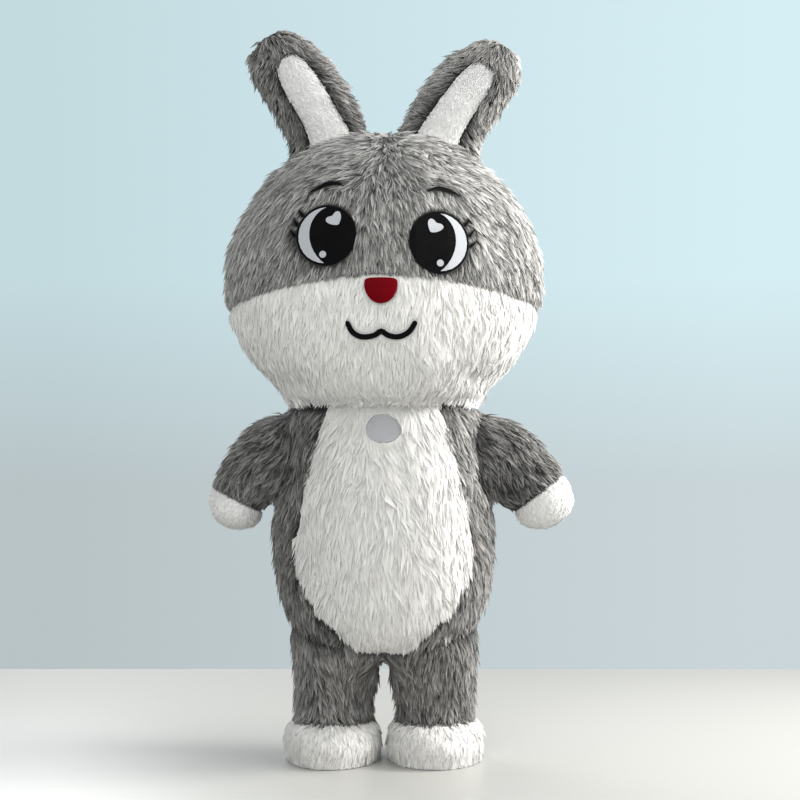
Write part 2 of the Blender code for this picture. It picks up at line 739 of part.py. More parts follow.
def heart_outline(x, z, turn):
    """A plump heart with a shallow notch and a blunt point."""
    points = []
    for i in range(OUTLINE_STEPS):
        t = 2 * pi * i / OUTLINE_STEPS
        right = lerp(sin(t), sin(t) ** 3, HEART_POINT)
        up = cos(t) * HEART_TALL - cos(2 * t) * HEART_NOTCH - cos(3 * t) * HEART_LOBES
        points.append((HEART_SIZE * right, HEART_SIZE * up))
    return turned(points, Oval(x, z, 0, 0, turn))


def lash_outline(eye, lash, outwards):
    """A tapered stroke that starts a gap away from the eye's rim."""
    wide, thin = LASH_WIDTH
    place = radians(lash.place)
    lean = radians(lash.lean)
    away = wide / 2 + 2 * GAP
    start = Vector(((eye.half_w + away) * cos(place), (eye.half_h + away) * sin(place)))
    end = start + Vector((cos(lean), sin(lean))) * lash.length
    rows = []
    for share in (0.0, 0.5, 1.0):
        p = start.lerp(end, share)
        rows.append((eye.x + outwards * p.x, eye.z + p.y, lerp(wide, thin, share)))
    return stroke_outline(rows)


def nose_outline(place):
    """Nearly flat at the top with blunt corners, and half an oval below."""
    widest = place.half_h * NOSE_WIDEST
    points = []
    for i in range(OUTLINE_STEPS):
        angle = 2 * pi * i / OUTLINE_STEPS
        right, up = cos(angle), sin(angle)
        if up > 0:
            right = abs(right) ** NOSE_BLUNTNESS * (1 if right > 0 else -1)
            up = up**NOSE_BLUNTNESS * (place.half_h - widest)
        else:
            up = up * (place.half_h + widest)
        points.append((place.half_w * right, widest + up))
    return turned(points, place)


def smooth_line(points, parts):
    """Points on a smooth curve through rows of (x, z, width)."""
    rows = [Vector(p) for p in points]
    rows = [rows[0] * 2 - rows[1]] + rows + [rows[-1] * 2 - rows[-2]]
    line = []
    for a, b, c, d in zip(rows, rows[1:], rows[2:], rows[3:]):
        for k in range(parts):
            t = k / parts
            square = (2 * a - 5 * b + 4 * c - d) * t**2
            cube = (3 * b - a - 3 * c + d) * t**3
            line.append((2 * b + (c - a) * t + square + cube) / 2)
    return line + [rows[-2]]


def stroke_outline(points, parts=3, cap_steps=4):
    """The outline of a line with round ends through rows of (x, z, width)."""
    line = smooth_line(points, parts)
    left = []
    right = []
    for i, p in enumerate(line):
        ahead = line[min(i + 1, len(line) - 1)] - line[max(i - 1, 0)]
        across = Vector((-ahead.y, ahead.x)).normalized() * (p.z / 2)
        left.append((p.x + across.x, p.y + across.y))
        right.append((p.x - across.x, p.y - across.y))

    def cap(tip, before):
        ahead = Vector((tip.x - before.x, tip.y - before.y)).normalized()
        start = Vector((-ahead.y, ahead.x))
        found = []
        for k in range(1, cap_steps):
            angle = pi * k / cap_steps
            way = start * cos(angle) + ahead * sin(angle)
            found.append((tip.x + way.x * tip.z / 2, tip.y + way.y * tip.z / 2))
        return found

    return left + cap(line[-1], line[-2]) + right[::-1] + cap(line[0], line[1])


def faces_in(form, pieces, reach, fronts):
    """Faces of these pieces whose middle lies in reach (x and z ranges), at the front or at the back."""
    x0, x1, z0, z1 = reach
    found = []
    for piece in pieces:
        for face in form.faces_of(piece):
            c = face.calc_center_median()
            if x0 < c.x < x1 and z0 < c.z < z1 and (c.y < 0) == fronts:
                found.append(face)
    return found


def sewn_on(form, name, faces, outline, cloth, lift, parts, cutters):
    """A flat piece with this outline that lies on these faces, lift metres above them."""
    top = lift + CLOTHS[cloth].wall
    obj = add_object(name, slab(form, faces, top, lift, seams=False), cloth, parts)
    y_range = FRONT_CUT if faces[0].calc_center_median().y < 0 else BACK_CUT
    boolean(obj, "INTERSECT", prism(name, outline, y_range, cutters))
    return obj


def add_face(form, parts, cutters):
    around = ("forehead", "face", "left_crown", "right_crown")
    mask = faces_in(form, around, FACE_REACH, True)
    on_fur = GAP
    on_eye = GAP + CLOTHS["black_felt"].wall + GAP
    for side, eye in EYES.items():
        sign = SIDES[side]
        sewn_on(form, f"{side}_eye", mask, oval_outline(eye), "black_felt", on_fur, parts, cutters)
        white = crescent_outline(eye, sign)
        sewn_on(form, f"{side}_eye_white", mask, white, "white_felt", on_eye, parts, cutters)
        dx, dz = HEART_PLACE[side]
        heart = heart_outline(eye.x + dx, eye.z + dz, HEART_TURN[side])
        sewn_on(form, f"{side}_eye_heart", mask, heart, "white_felt", on_eye, parts, cutters)
        dx, dz = SPOT_PLACE[side]
        spot = oval_outline(Oval(eye.x + dx, eye.z + dz, SPOT_RADIUS, SPOT_RADIUS, 0.0))
        sewn_on(form, f"{side}_eye_spot", mask, spot, "white_felt", on_eye, parts, cutters)
        for number, lash in enumerate(LASHES[side], 1):
            outline = lash_outline(eye, lash, sign)
            sewn_on(form, f"{side}_lash_{number}", mask, outline, "black_felt", on_fur, parts, cutters)
        brow = stroke_outline(BROWS[side])
        sewn_on(form, f"{side}_brow", mask, brow, "black_felt", on_fur, parts, cutters)
    sewn_on(form, "nose", mask, nose_outline(NOSE), "red_satin", on_fur, parts, cutters)
    sewn_on(form, "mouth", mask, stroke_outline(MOUTH), "black_felt", on_fur, parts, cutters)


def add_window(form, belly, parts, cutters):
    """A hole in the belly panel, and the see-through oval held in it below the pile."""
    hole = prism("window_hole", oval_outline(WINDOW), FRONT_CUT, cutters)
    boolean(belly, "DIFFERENCE", hole)
    faces = faces_in(form, ("belly", "face"), WINDOW_REACH, True)
    pane = oval_outline(WINDOW, -GAP)
    wall = CLOTHS["window_mesh"].wall
    sewn_on(form, "window", faces, pane, "window_mesh", -WINDOW_SINK - wall, parts, cutters)


def add_zip_tapes(form, parts, cutters):
    faces = faces_in(form, ("left_back", "right_back"), ZIP_REACH, False)
    low, high = ZIP_Z
    for side, sign in SIDES.items():
        outline = [
            (sign * GAP / 2, low),
            (sign * ZIP_HALF_WIDTH, low),
            (sign * ZIP_HALF_WIDTH, high),
            (sign * GAP / 2, high),
        ]
        sewn_on(form, f"{side}_zip_tape", faces, outline, "zip_tape", GAP, parts, cutters)


def slider_frame(form):
    """Matrix at the slider's seat on the tapes: x across, y up along the zip, z away from the back."""
    low, high = (
        next(v for v in form.bm.verts if abs(v.co.x) < 1e-6 and v.co.y > 0 and abs(v.co.z - z) < 1e-6)
        for z in SLIDER_Z
    )
    lift = GAP + CLOTHS["zip_tape"].wall + GAP
    a = low.co + form.normals[low] * lift
    b = high.co + form.normals[high] * lift
    up = (b - a).normalized()
    across = Vector((-1, 0, 0))
    out = across.cross(up)
    return Matrix.Translation((a + b) / 2) @ Matrix((across, up, out)).transposed().to_4x4()


def box(size, middle):
    bm = bmesh.new()
    bmesh.ops.create_cube(bm, size=1.0)
    bmesh.ops.scale(bm, vec=size, verts=bm.verts)
    bmesh.ops.translate(bm, vec=middle, verts=bm.verts)
    return bm


def add_slider(form, parts, cutters):
    """A slider with a small arch on it, and a pull tab whose bar turns under that arch."""
    frame = slider_frame(form)
    width, length, height = SLIDER_SIZE
    body = add_object("zip_slider", box(SLIDER_SIZE, (0, 0, height / 2)), "metal", parts)
    arch_w, arch_l, arch_h = BRIDGE_SIZE
    arch = box((arch_w, arch_l, arch_h + height / 2), (0, 0, height + (arch_h - height / 2) / 2))
    arch_obj = add_object("slider_arch", arch, "metal", cutters)
    hole_l, hole_h = BRIDGE_HOLE
    hole_box = box((2 * width, hole_l, hole_h), (0, 0, height + hole_h / 2))
    hole = add_object("slider_arch_hole", hole_box, "metal", cutters)
    boolean(body, "UNION", arch_obj)
    boolean(body, "DIFFERENCE", hole)

    bar_z = height + hole_h / 2
    tab_w, tab_l, tab_t = TAB_SIZE
    tab = add_object("zip_pull", box(TAB_SIZE, (0, TAB_BAR / 2 - tab_l / 2, 0)), "metal", parts)
    slot_w, slot_l = TAB_SLOT
    slot = box((slot_w, slot_l, 10 * tab_t), (0, -TAB_BAR / 2 - slot_l / 2, 0))
    slot_obj = add_object("pull_slot", slot, "metal", cutters)
    boolean(tab, "DIFFERENCE", slot_obj)
    for obj in (body, arch_obj, hole):
        obj.matrix_world = frame
    for obj in (tab, slot_obj):
        obj.matrix_world = frame @ Matrix.Translation((0, 0, bar_z))
    for obj in (arch_obj, hole, slot_obj):
        hide_cutter(obj)


def blower_frame(form):
    """Matrix at the middle of the blower's hole: z points out of the back."""
    out = Vector((-sin(BLOWER_ANGLE), -cos(BLOWER_ANGLE), 0))
    near = [v for v in form.bm.verts if (v.co.xy.normalized() - out.xy).length < BLOWER_SECTOR]
    near = [v for v in near if abs(v.co.z - BLOWER_Z) < BLOWER_REACH]
    reach = sum(v.co.dot(out) for v in near) / len(near)
    up = Vector((0, 0, 1))
    across = up.cross(out)
    middle = out * reach + Vector((0, 0, BLOWER_Z))
    return Matrix.Translation(middle) @ Matrix((across, up, out)).transposed().to_4x4()


def tube(outer, inner, low, high, steps=ROUND_STEPS):
    """A round tube along z, from a rectangular profile."""
    bm = bmesh.new()
    corners = ((outer, low), (outer, high), (inner, high), (inner, low))
    loop = [bm.verts.new((r, 0, z)) for r, z in corners]
    edges = [bm.edges.new((a, b)) for a, b in zip(loop, loop[1:] + loop[:1])]
    bmesh.ops.spin(
        bm, geom=loop + edges, cent=(0, 0, 0), axis=(0, 0, 1), angle=2 * pi, steps=steps, use_merge=True
    )
    bmesh.ops.remove_doubles(bm, verts=bm.verts, dist=1e-6)
    bmesh.ops.recalc_face_normals(bm, faces=bm.faces)
    return bm


def cylinder(radius, low, high, steps=ROUND_STEPS):
    bm = bmesh.new()
    bmesh.ops.create_cone(
        bm, cap_ends=True, segments=steps, radius1=radius, radius2=radius, depth=high - low
    )
    bmesh.ops.translate(bm, vec=(0, 0, (low + high) / 2), verts=bm.verts)
    return bm


def joined(name, pieces, cloth, frame, parts, cutters):
    """One body from closed pieces that overlap."""
    first = add_object(name, pieces[0], cloth, parts)
    first.matrix_world = frame
    for number, bm in enumerate(pieces[1:], 1):
        other = add_object(f"{name}_part_{number}", bm, cloth, cutters)
        other.matrix_world = frame
        hide_cutter(other)
        boolean(first, "UNION", other)
    return first


def spoke(width, depth, inner, outer, middle_z, angle):
    bm = box((outer - inner, width, depth), ((outer + inner) / 2, 0, middle_z))
    bmesh.ops.rotate(bm, verts=bm.verts, cent=(0, 0, 0), matrix=Matrix.Rotation(angle, 3, "Z"))
    return bm


def add_blower(form, back, parts, cutters):
    """A duct held in the back panel by a flange, with a grille, a motor and its rotor inside."""
    frame = blower_frame(form)
    bore = cylinder(DUCT_OUTER + GAP, -BLOWER_REACH, BLOWER_REACH)
    hole = add_object("blower_hole", bore, "plastic", cutters)
    hole.matrix_world = frame
    hide_cutter(hole)
    boolean(back, "DIFFERENCE", hole)

    middle = frame.translation
    faces = [
        f for f in form.faces_of("right_back") if (f.calc_center_median() - middle).length < 2 * BLOWER_REACH
    ]
    top = GAP + CLOTHS["plastic"].wall
    flange = add_object("blower_flange", slab(form, faces, top, GAP, seams=False), "plastic", parts)
    around = tube(FLANGE_OUTER, DUCT_OUTER + GAP, -BLOWER_REACH / 2, BLOWER_REACH / 2)
    ring = add_object("blower_flange_ring", around, "plastic", cutters)
    ring.matrix_world = frame
    hide_cutter(ring)
    boolean(flange, "INTERSECT", ring)

    top_z = DUCT_PROUD
    low_z = top_z - DUCT_LENGTH
    motor_low = low_z
    motor_high = motor_low + MOTOR_LENGTH
    duct = [
        tube(DUCT_OUTER, DUCT_INNER, low_z, top_z),
        cylinder(MOTOR_RADIUS, motor_low, motor_high, SMALL_ROUND_STEPS),
    ]
    reach = (DUCT_OUTER + DUCT_INNER) / 2
    width, depth = MOTOR_SPOKE_SIZE
    for k in range(MOTOR_SPOKES):
        turn = 2 * pi * k / MOTOR_SPOKES
        duct.append(spoke(width, depth, MOTOR_RADIUS / 2, reach, motor_low + depth, turn))
    joined("blower_duct", duct, "plastic", frame, parts, cutters)

    grille_z = top_z - GRILLE_BAR
    face = GRILLE_BAR / 2
    low_face = grille_z - face
    high_face = grille_z + face
    grille = [tube(DUCT_INNER - GAP, DUCT_INNER - GRILLE_RIM, low_face, high_face)]
    for radius in GRILLE_RINGS:
        grille.append(tube(radius + face, radius - face, low_face, high_face, GRILLE_STEPS))
    inner = GRILLE_RINGS[0]
    outer = DUCT_INNER - GRILLE_RIM / 2
    for k in range(GRILLE_SPOKES):
        turn = 2 * pi * k / GRILLE_SPOKES
        grille.append(spoke(GRILLE_BAR, GRILLE_BAR * 0.8, inner, outer, grille_z, turn))
    joined("blower_grille", grille, "plastic", frame, parts, cutters)

    rotor_low = motor_high + GAP
    rotor_high = rotor_low + ROTOR_DEPTH
    rotor = [cylinder(ROTOR_HUB, rotor_low, rotor_high, SMALL_ROUND_STEPS)]
    for k in range(ROTOR_BLADES):
        blade = box((ROTOR_RADIUS - ROTOR_HUB / 2, BLADE_THICKNESS, ROTOR_DEPTH * 0.9), (0, 0, 0))
        pitch = Matrix.Rotation(BLADE_PITCH, 3, "X")
        bmesh.ops.rotate(blade, verts=blade.verts, cent=(0, 0, 0), matrix=pitch)
        away = (ROTOR_RADIUS + ROTOR_HUB / 2) / 2
        bmesh.ops.translate(blade, verts=blade.verts, vec=(away, 0, (rotor_low + rotor_high) / 2))
        turn = Matrix.Rotation(2 * pi * k / ROTOR_BLADES, 3, "Z")
        bmesh.ops.rotate(blade, verts=blade.verts, cent=(0, 0, 0), matrix=turn)
        rotor.append(blade)
    joined("blower_rotor", rotor, "plastic", frame, parts, cutters)


def outline_middle(form):
    """The point of the floor under the middle of the form's outline, to the nearest MIDDLE_STEP."""
    middle = Vector((0, 0, 0))
    for axis in (0, 1):
        reach = [v.co[axis] for v in form.bm.verts]
        middle[axis] = round((min(reach) + max(reach)) / 2 / MIDDLE_STEP) * MIDDLE_STEP
    return middle


def settle(objects, middle):
    """Moves everything so that the origin lies at that point."""
    for obj in objects:
        if obj.location.length > 0:
            obj.location -= middle
        else:
            obj.data.transform(Matrix.Translation(-middle))


def main():
    clear_scene()
    parts = bpy.data.collections.new(COLLECTION)
    cutters = bpy.data.collections.new("cutters")
    for collection in (parts, cutters):
        bpy.context.scene.collection.children.link(collection)

    form = Form()
    rings = add_trunk_and_head(form)
    crotch = crotch_line(form, rings)
    for side in SIDES:
        add_arm(form, rings, side)
        add_ear(form, rings, side)
        add_leg(form, rings, side, crotch)
    form.finish()

    made = {}
    for piece in form.pieces:
        cloth = cloth_of(piece)
        wall = slab(form, form.faces_of(piece), 0.0, -CLOTHS[cloth].wall)
        made[piece] = add_object(piece, wall, cloth, parts)
    add_face(form, parts, cutters)
    add_window(form, made["belly"], parts, cutters)
    add_zip_tapes(form, parts, cutters)
    add_slider(form, parts, cutters)
    add_blower(form, made["right_back"], parts, cutters)
    middle = outline_middle(form)
    for collection in (parts, cutters):
        settle(collection.objects, middle)
    form.bm.free()


main()
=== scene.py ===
# %% [markdown]
# # A walk-in inflatable rabbit suit in long plush
#
# The real suit is sewn from panels of long-pile plush and held out by the air of a small blower. The packed
# solids give each panel's true place as a plain wall. This script dresses them: every plush panel gets a
# thin backing and thousands of hair locks, and the felt, mesh, zip and plastic pieces get their finishes.

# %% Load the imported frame
import json
import math
from collections import Counter, namedtuple

import bmesh
import bpy
import numpy as np
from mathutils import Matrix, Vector, kdtree
from mathutils.bvhtree import BVHTree

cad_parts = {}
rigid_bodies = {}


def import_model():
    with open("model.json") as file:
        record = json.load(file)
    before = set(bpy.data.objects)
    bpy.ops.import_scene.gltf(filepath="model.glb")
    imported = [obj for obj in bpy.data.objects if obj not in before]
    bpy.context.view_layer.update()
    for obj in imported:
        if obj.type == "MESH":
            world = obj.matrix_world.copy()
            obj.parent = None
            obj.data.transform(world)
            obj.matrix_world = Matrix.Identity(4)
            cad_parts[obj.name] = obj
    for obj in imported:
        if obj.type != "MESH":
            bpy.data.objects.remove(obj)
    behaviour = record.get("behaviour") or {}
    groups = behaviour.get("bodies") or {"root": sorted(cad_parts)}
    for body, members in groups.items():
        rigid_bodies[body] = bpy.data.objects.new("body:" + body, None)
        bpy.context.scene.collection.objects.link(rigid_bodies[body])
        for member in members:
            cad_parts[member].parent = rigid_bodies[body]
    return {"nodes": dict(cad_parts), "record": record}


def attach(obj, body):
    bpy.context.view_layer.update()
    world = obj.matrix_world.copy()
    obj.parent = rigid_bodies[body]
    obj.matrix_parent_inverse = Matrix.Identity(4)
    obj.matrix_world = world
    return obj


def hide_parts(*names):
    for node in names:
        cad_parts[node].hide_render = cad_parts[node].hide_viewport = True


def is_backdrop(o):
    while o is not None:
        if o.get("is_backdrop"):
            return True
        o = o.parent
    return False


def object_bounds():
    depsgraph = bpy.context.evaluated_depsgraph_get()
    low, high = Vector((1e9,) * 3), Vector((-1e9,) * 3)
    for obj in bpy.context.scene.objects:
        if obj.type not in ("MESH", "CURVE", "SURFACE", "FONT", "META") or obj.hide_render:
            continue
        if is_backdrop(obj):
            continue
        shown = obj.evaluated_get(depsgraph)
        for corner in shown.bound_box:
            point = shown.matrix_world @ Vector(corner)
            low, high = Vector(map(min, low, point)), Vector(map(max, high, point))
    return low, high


for left_over in list(bpy.data.objects):
    bpy.data.objects.remove(left_over)
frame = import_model()
cad_low, cad_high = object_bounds()
scene = bpy.context.scene
nodes = {name: bpy.data.objects[name] for name in frame["nodes"]}
print("solids", len(nodes), "box", [round(v, 3) for v in cad_high - cad_low])

# %% [markdown]
# ## Camera, floor and light
#
# The picture was taken level, from a little below the middle of the suit, with a longish lens. A plain pale
# floor ends behind the suit, where the pale blue room begins. Large soft lamps keep the shadows in the fur
# soft, and more light comes from the right, because the fur is paler there. The rim lamp, straight to the
# right, brightens the edges of the head and of the ear.

# %% Camera
# The middle of the suit on the floor. The ears and arms lean a little to one side of it.
MIDDLE = np.array((-0.0305, 0.0205, 0.0))
EYE = MIDDLE + (0.065, -6.8, 1.25)
camera_data = bpy.data.cameras.new("camera")
camera_data.sensor_width = 36.0
camera_data.lens = 75.28
camera_data.shift_y = 0.0619
camera = bpy.data.objects.new("camera", camera_data)
camera.location = EYE
camera.rotation_euler = (math.pi / 2, 0.0, 0.0)
scene.collection.objects.link(camera)
scene.camera = camera
scene.view_settings.view_transform = "Standard"
print("camera at", [round(float(v), 3) for v in EYE], "lens", round(camera_data.lens, 2))


# %% Helpers for node trees
def add_node(tree, kind, links=(), **settings):
    """Adds a node. Settings whose name is a socket's are its values, and the others are the node's own."""
    made = tree.nodes.new(kind)
    for key, value in settings.items():
        if hasattr(made, key):
            setattr(made, key, value)
        else:
            made.inputs[key.replace("_", " ")].default_value = value
    for socket, source in links:
        tree.links.new(source, made.inputs[socket])
    return made


def new_material(name, colour, roughness, **values):
    """A material with one Principled shader. The values are set straight on the shader's sockets."""
    made = bpy.data.materials.new(name)
    made.use_nodes = True
    shader = made.node_tree.nodes["Principled BSDF"]
    shader.inputs["Base Color"].default_value = (*colour, 1.0)
    shader.inputs["Roughness"].default_value = roughness
    for key, value in values.items():
        shader.inputs[key.replace("_", " ")].default_value = value
    made.diffuse_color = (*colour, 1.0)
    return made, made.node_tree, shader


# %% Floor and room
FLOOR_HALF = 2.75
FLOOR_COLOUR = (0.455, 0.452, 0.430)
FLOOR_ROUGHNESS = 0.35
ROOM_LIGHT = (0.90, 0.97, 1.0, 1.0)
ROOM_STRENGTH = 0.48
HORIZON_COLOUR = (0.535, 0.610, 0.630, 1.0)
WALL_COLOUR = (0.610, 0.780, 0.825, 1.0)
floor_bm = bmesh.new()
bmesh.ops.create_grid(floor_bm, x_segments=4, y_segments=4, size=FLOOR_HALF)
floor_mesh = bpy.data.meshes.new("floor")
floor_bm.to_mesh(floor_mesh)
floor_bm.free()
floor = bpy.data.objects.new("floor", floor_mesh)
scene.collection.objects.link(floor)
floor_finish, _, _ = new_material("floor_finish", FLOOR_COLOUR, FLOOR_ROUGHNESS)
floor_mesh.materials.append(floor_finish)
floor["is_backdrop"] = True

room = bpy.data.worlds.new("room")
room.use_nodes = True
tree = room.node_tree
light = tree.nodes["Background"]
light.inputs["Color"].default_value = ROOM_LIGHT
light.inputs["Strength"].default_value = ROOM_STRENGTH
look = add_node(tree, "ShaderNodeTexCoord").outputs["Generated"]
split = add_node(tree, "ShaderNodeSeparateXYZ", [("Vector", look)]).outputs
# The camera sees the horizon's colour turn into the wall's upwards, and both grow paler to the right
upwards = add_node(tree, "ShaderNodeMapRange", [("Value", split["Z"])], From_Min=-0.02, From_Max=0.10)
across = add_node(tree, "ShaderNodeMapRange", [("Value", split["X"])], From_Min=-0.2, From_Max=0.2)
across.inputs["To Min"].default_value = 0.90
across.inputs["To Max"].default_value = 1.10
seen_colour = add_node(tree, "ShaderNodeMix", [("Factor", upwards.outputs["Result"])], data_type="RGBA")
seen_colour.inputs["A"].default_value = HORIZON_COLOUR
seen_colour.inputs["B"].default_value = WALL_COLOUR
seen_links = [("Color", seen_colour.outputs["Result"]), ("Strength", across.outputs["Result"])]
seen = add_node(tree, "ShaderNodeBackground", seen_links)
path = add_node(tree, "ShaderNodeLightPath")
which = add_node(tree, "ShaderNodeMixShader", [("Fac", path.outputs["Is Camera Ray"])])
tree.links.new(light.outputs["Background"], which.inputs[1])
tree.links.new(seen.outputs["Background"], which.inputs[2])
tree.links.new(which.outputs["Shader"], tree.nodes["World Output"].inputs["Surface"])
scene.world = room
print("floor", 2.0 * FLOOR_HALF, "m wide, room nodes", len(tree.nodes))

# %% Lamps
Lamp = namedtuple("Lamp", "place aim size watts colour")
LAMPS = {
    "side_lamp": Lamp((4.2, -2.0, 4.2), (0.2, 0.0, 2.0), 3.0, 160.0, (1.0, 0.985, 0.96)),
    "front_lamp": Lamp((-1.2, -6.5, 3.5), (0.0, 0.0, 1.4), 3.4, 205.0, (1.0, 0.985, 0.96)),
    "top_lamp": Lamp((0.6, 0.6, 5.4), (0.0, 0.0, 1.5), 2.6, 50.0, (1.0, 1.0, 1.0)),
    "rim_lamp": Lamp((4.7, 0.2, 3.4), (0.3, 0.0, 2.3), 2.4, 430.0, (1.0, 0.98, 0.95)),
    "back_lamp": Lamp((-2.6, 4.6, 3.2), (0.0, 0.0, 1.4), 3.0, 140.0, (0.97, 0.99, 1.0)),
}
for name, lamp in LAMPS.items():
    data = bpy.data.lights.new(name, "AREA")
    data.shape = "DISK"
    data.size = lamp.size
    data.energy = lamp.watts
    data.color = lamp.colour
    obj = bpy.data.objects.new(name, data)
    obj.location = lamp.place
    obj.rotation_euler = (Vector(lamp.aim) - Vector(lamp.place)).to_track_quat("-Z", "Y").to_euler()
    scene.collection.objects.link(obj)
print("lamps", len(LAMPS), "watts", sum(lamp.watts for lamp in LAMPS.values()))

# %% [markdown]
# ## Finishes
#
# Plush colour changes along each hair: darker near the backing, which is painted shade deep in the pile,
# and paler at the tip, which is painted light where the light catches it.
# Whole patches are also a little paler or darker, because the pile lies differently there. One node group
# makes that colour for every plush panel. It reads two values stored on the hairs, how far along the hair
# a point is and how pale the hair is, and noise in the object's own coordinates for the patches.


# %% Helpers for node groups
def start_group(name, **inputs):
    """A group with a socket for each input, which puts out a colour and a height, and its two end nodes."""
    group = bpy.data.node_groups.new(name, "ShaderNodeTree")
    for key, value in inputs.items():
        kind = "NodeSocketColor" if isinstance(value, tuple) else "NodeSocketFloat"
        group.interface.new_socket(name=key, in_out="INPUT", socket_type=kind).default_value = value
    group.interface.new_socket(name="Color", in_out="OUTPUT", socket_type="NodeSocketColor")
    group.interface.new_socket(name="Height", in_out="OUTPUT", socket_type="NodeSocketFloat")
    return group, add_node(group, "NodeGroupInput").outputs, add_node(group, "NodeGroupOutput").inputs


def work_out(tree, operation, one, other):
    """The result of a Math node. The other value is a number or what another node puts out."""
    made = add_node(tree, "ShaderNodeMath", [(0, one)], operation=operation)
    if isinstance(other, float):
        made.inputs[1].default_value = other
    else:
        tree.links.new(other, made.inputs[1])
    return made.outputs[0]


def noise(tree, place, scale, detail, roughness=0.5):
    """Soft noise in space, whose values lie round a half."""
    made = add_node(tree, "ShaderNodeTexNoise", [("Vector", place)], Scale=scale, Detail=detail)
    made.inputs["Roughness"].default_value = roughness
    return made.outputs["Fac"]


def paler(group, colour, change):
    """The colour times one plus the change."""
    factor = work_out(group, "ADD", change, 1.0)
    scaled = add_node(group, "ShaderNodeVectorMath", [("Vector", colour)], operation="SCALE")
    group.links.new(factor, scaled.inputs["Scale"])
    return scaled.outputs["Vector"]


# %% Node group for plush
def make_plush_group():
    group, entry, leave = start_group(
        "plush_colour", Root=(0.1, 0.1, 0.1, 1.0), Tip=(0.5, 0.5, 0.5, 1.0), Spread=0.5, Patches=0.2
    )
    along = add_node(group, "ShaderNodeAttribute", attribute_name="along").outputs["Fac"]
    tone = add_node(group, "ShaderNodeAttribute", attribute_name="tone").outputs["Fac"]
    place = add_node(group, "ShaderNodeTexCoord").outputs["Object"]
    patches = noise(group, place, 9.0, 4.0, 0.6)
    fibres = noise(group, place, 420.0, 2.0)
    # From root to tip: painted shade deep in the pile turning into painted light at the tip
    reach = add_node(
        group, "ShaderNodeMapRange", [("Value", along)], interpolation_type="SMOOTHSTEP", From_Max=0.9
    ).outputs["Result"]
    base = add_node(group, "ShaderNodeMix", [("Factor", reach)], data_type="RGBA")
    group.links.new(entry["Root"], base.inputs["A"])
    group.links.new(entry["Tip"], base.inputs["B"])
    hair = work_out(group, "MULTIPLY", work_out(group, "SUBTRACT", tone, 0.5), entry["Spread"])
    patch = work_out(group, "MULTIPLY", work_out(group, "SUBTRACT", patches, 0.5), entry["Patches"])
    colour = paler(group, base.outputs["Result"], work_out(group, "ADD", hair, patch))
    group.links.new(colour, leave["Color"])
    group.links.new(fibres, leave["Height"])
    return group


plush_colour = make_plush_group()
print("plush group nodes", len(plush_colour.nodes))

# %% Plush finishes
Plush = namedtuple("Plush", "root tip spread patches")
# Each root colour is painted shade deep in the pile, and each tip colour holds painted light on the tips
PLUSHES = {
    "grey_pile": Plush((0.025, 0.024, 0.023), (0.160, 0.156, 0.150), 1.70, 1.1),
    "pale_grey_pile": Plush((0.056, 0.055, 0.052), (0.285, 0.280, 0.270), 1.30, 0.8),
    "white_pile": Plush((0.640, 0.628, 0.604), (0.765, 0.755, 0.735), 0.18, 0.14),
    "short_white_pile": Plush((0.660, 0.655, 0.640), (0.810, 0.805, 0.795), 0.16, 0.12),
}
PLUSH_ROUGHNESS = 0.62
PLUSH_SHINE = {"Sheen_Weight": 0.25, "Sheen_Roughness": 0.5, "Specular_IOR_Level": 0.25}


def plush_material(slot):
    plush = PLUSHES[slot]
    made, tree, shader = new_material(slot, plush.tip, PLUSH_ROUGHNESS, **PLUSH_SHINE)
    group = add_node(tree, "ShaderNodeGroup", node_tree=plush_colour)
    group.inputs["Root"].default_value = (*plush.root, 1.0)
    group.inputs["Tip"].default_value = (*plush.tip, 1.0)
    group.inputs["Spread"].default_value = plush.spread
    group.inputs["Patches"].default_value = plush.patches
    tree.links.new(group.outputs["Color"], shader.inputs["Base Color"])
    height = group.outputs["Height"]
    bump = add_node(tree, "ShaderNodeBump", [("Height", height)], Strength=0.25, Distance=0.001)
    tree.links.new(bump.outputs["Normal"], shader.inputs["Normal"])
    return made


finishes = {slot: plush_material(slot) for slot in PLUSHES}
print("plush finishes", list(finishes))

# %% [markdown]
# The other pieces are felt, satin, woven tape, mesh, coated cloth, metal and moulded plastic. Felt is a mat
# of short fibres, so it gets fine noise in colour and bump, and the same group with less of it makes the
# slight unevenness of satin, thread and plastic. Woven cloth gets two crossed bands of threads, which a
# group makes from the object's coordinates, with painted shade in the hollows between the threads.


# %% Node groups for felt and woven cloth
def make_felt_group():
    group, entry, leave = start_group("felt_fibres", Colour=(0.5, 0.5, 0.5, 1.0), Uneven=0.2)
    place = add_node(group, "ShaderNodeTexCoord").outputs["Object"]
    fibres = noise(group, place, 700.0, 5.0, 0.7)
    clouds = noise(group, place, 40.0, 3.0)
    from_middle = work_out(group, "SUBTRACT", work_out(group, "ADD", fibres, clouds), 1.0)
    change = work_out(group, "MULTIPLY", from_middle, entry["Uneven"])
    group.links.new(paler(group, entry["Colour"], change), leave["Color"])
    group.links.new(fibres, leave["Height"])
    return group


def make_weave_group():
    group, entry, leave = start_group(
        "crossed_threads", Colour=(0.5, 0.5, 0.5, 1.0), Threads=900.0, Depth=0.3
    )
    place = add_node(group, "ShaderNodeTexCoord").outputs["Object"]
    bands = []
    for direction in ("X", "Z"):
        links = [("Vector", place), ("Scale", entry["Threads"])]
        wave = add_node(group, "ShaderNodeTexWave", links, bands_direction=direction, Distortion=0.4)
        bands.append(wave.outputs["Fac"])
    height = work_out(group, "MULTIPLY", bands[0], bands[1])
    # Painted shade: the hollows between the threads are darker
    change = work_out(group, "MULTIPLY", work_out(group, "SUBTRACT", height, 0.6), entry["Depth"])
    group.links.new(paler(group, entry["Colour"], change), leave["Color"])
    group.links.new(height, leave["Height"])
    return group


felt = make_felt_group()
weave = make_weave_group()
print("felt group nodes", len(felt.nodes), "weave group nodes", len(weave.nodes))

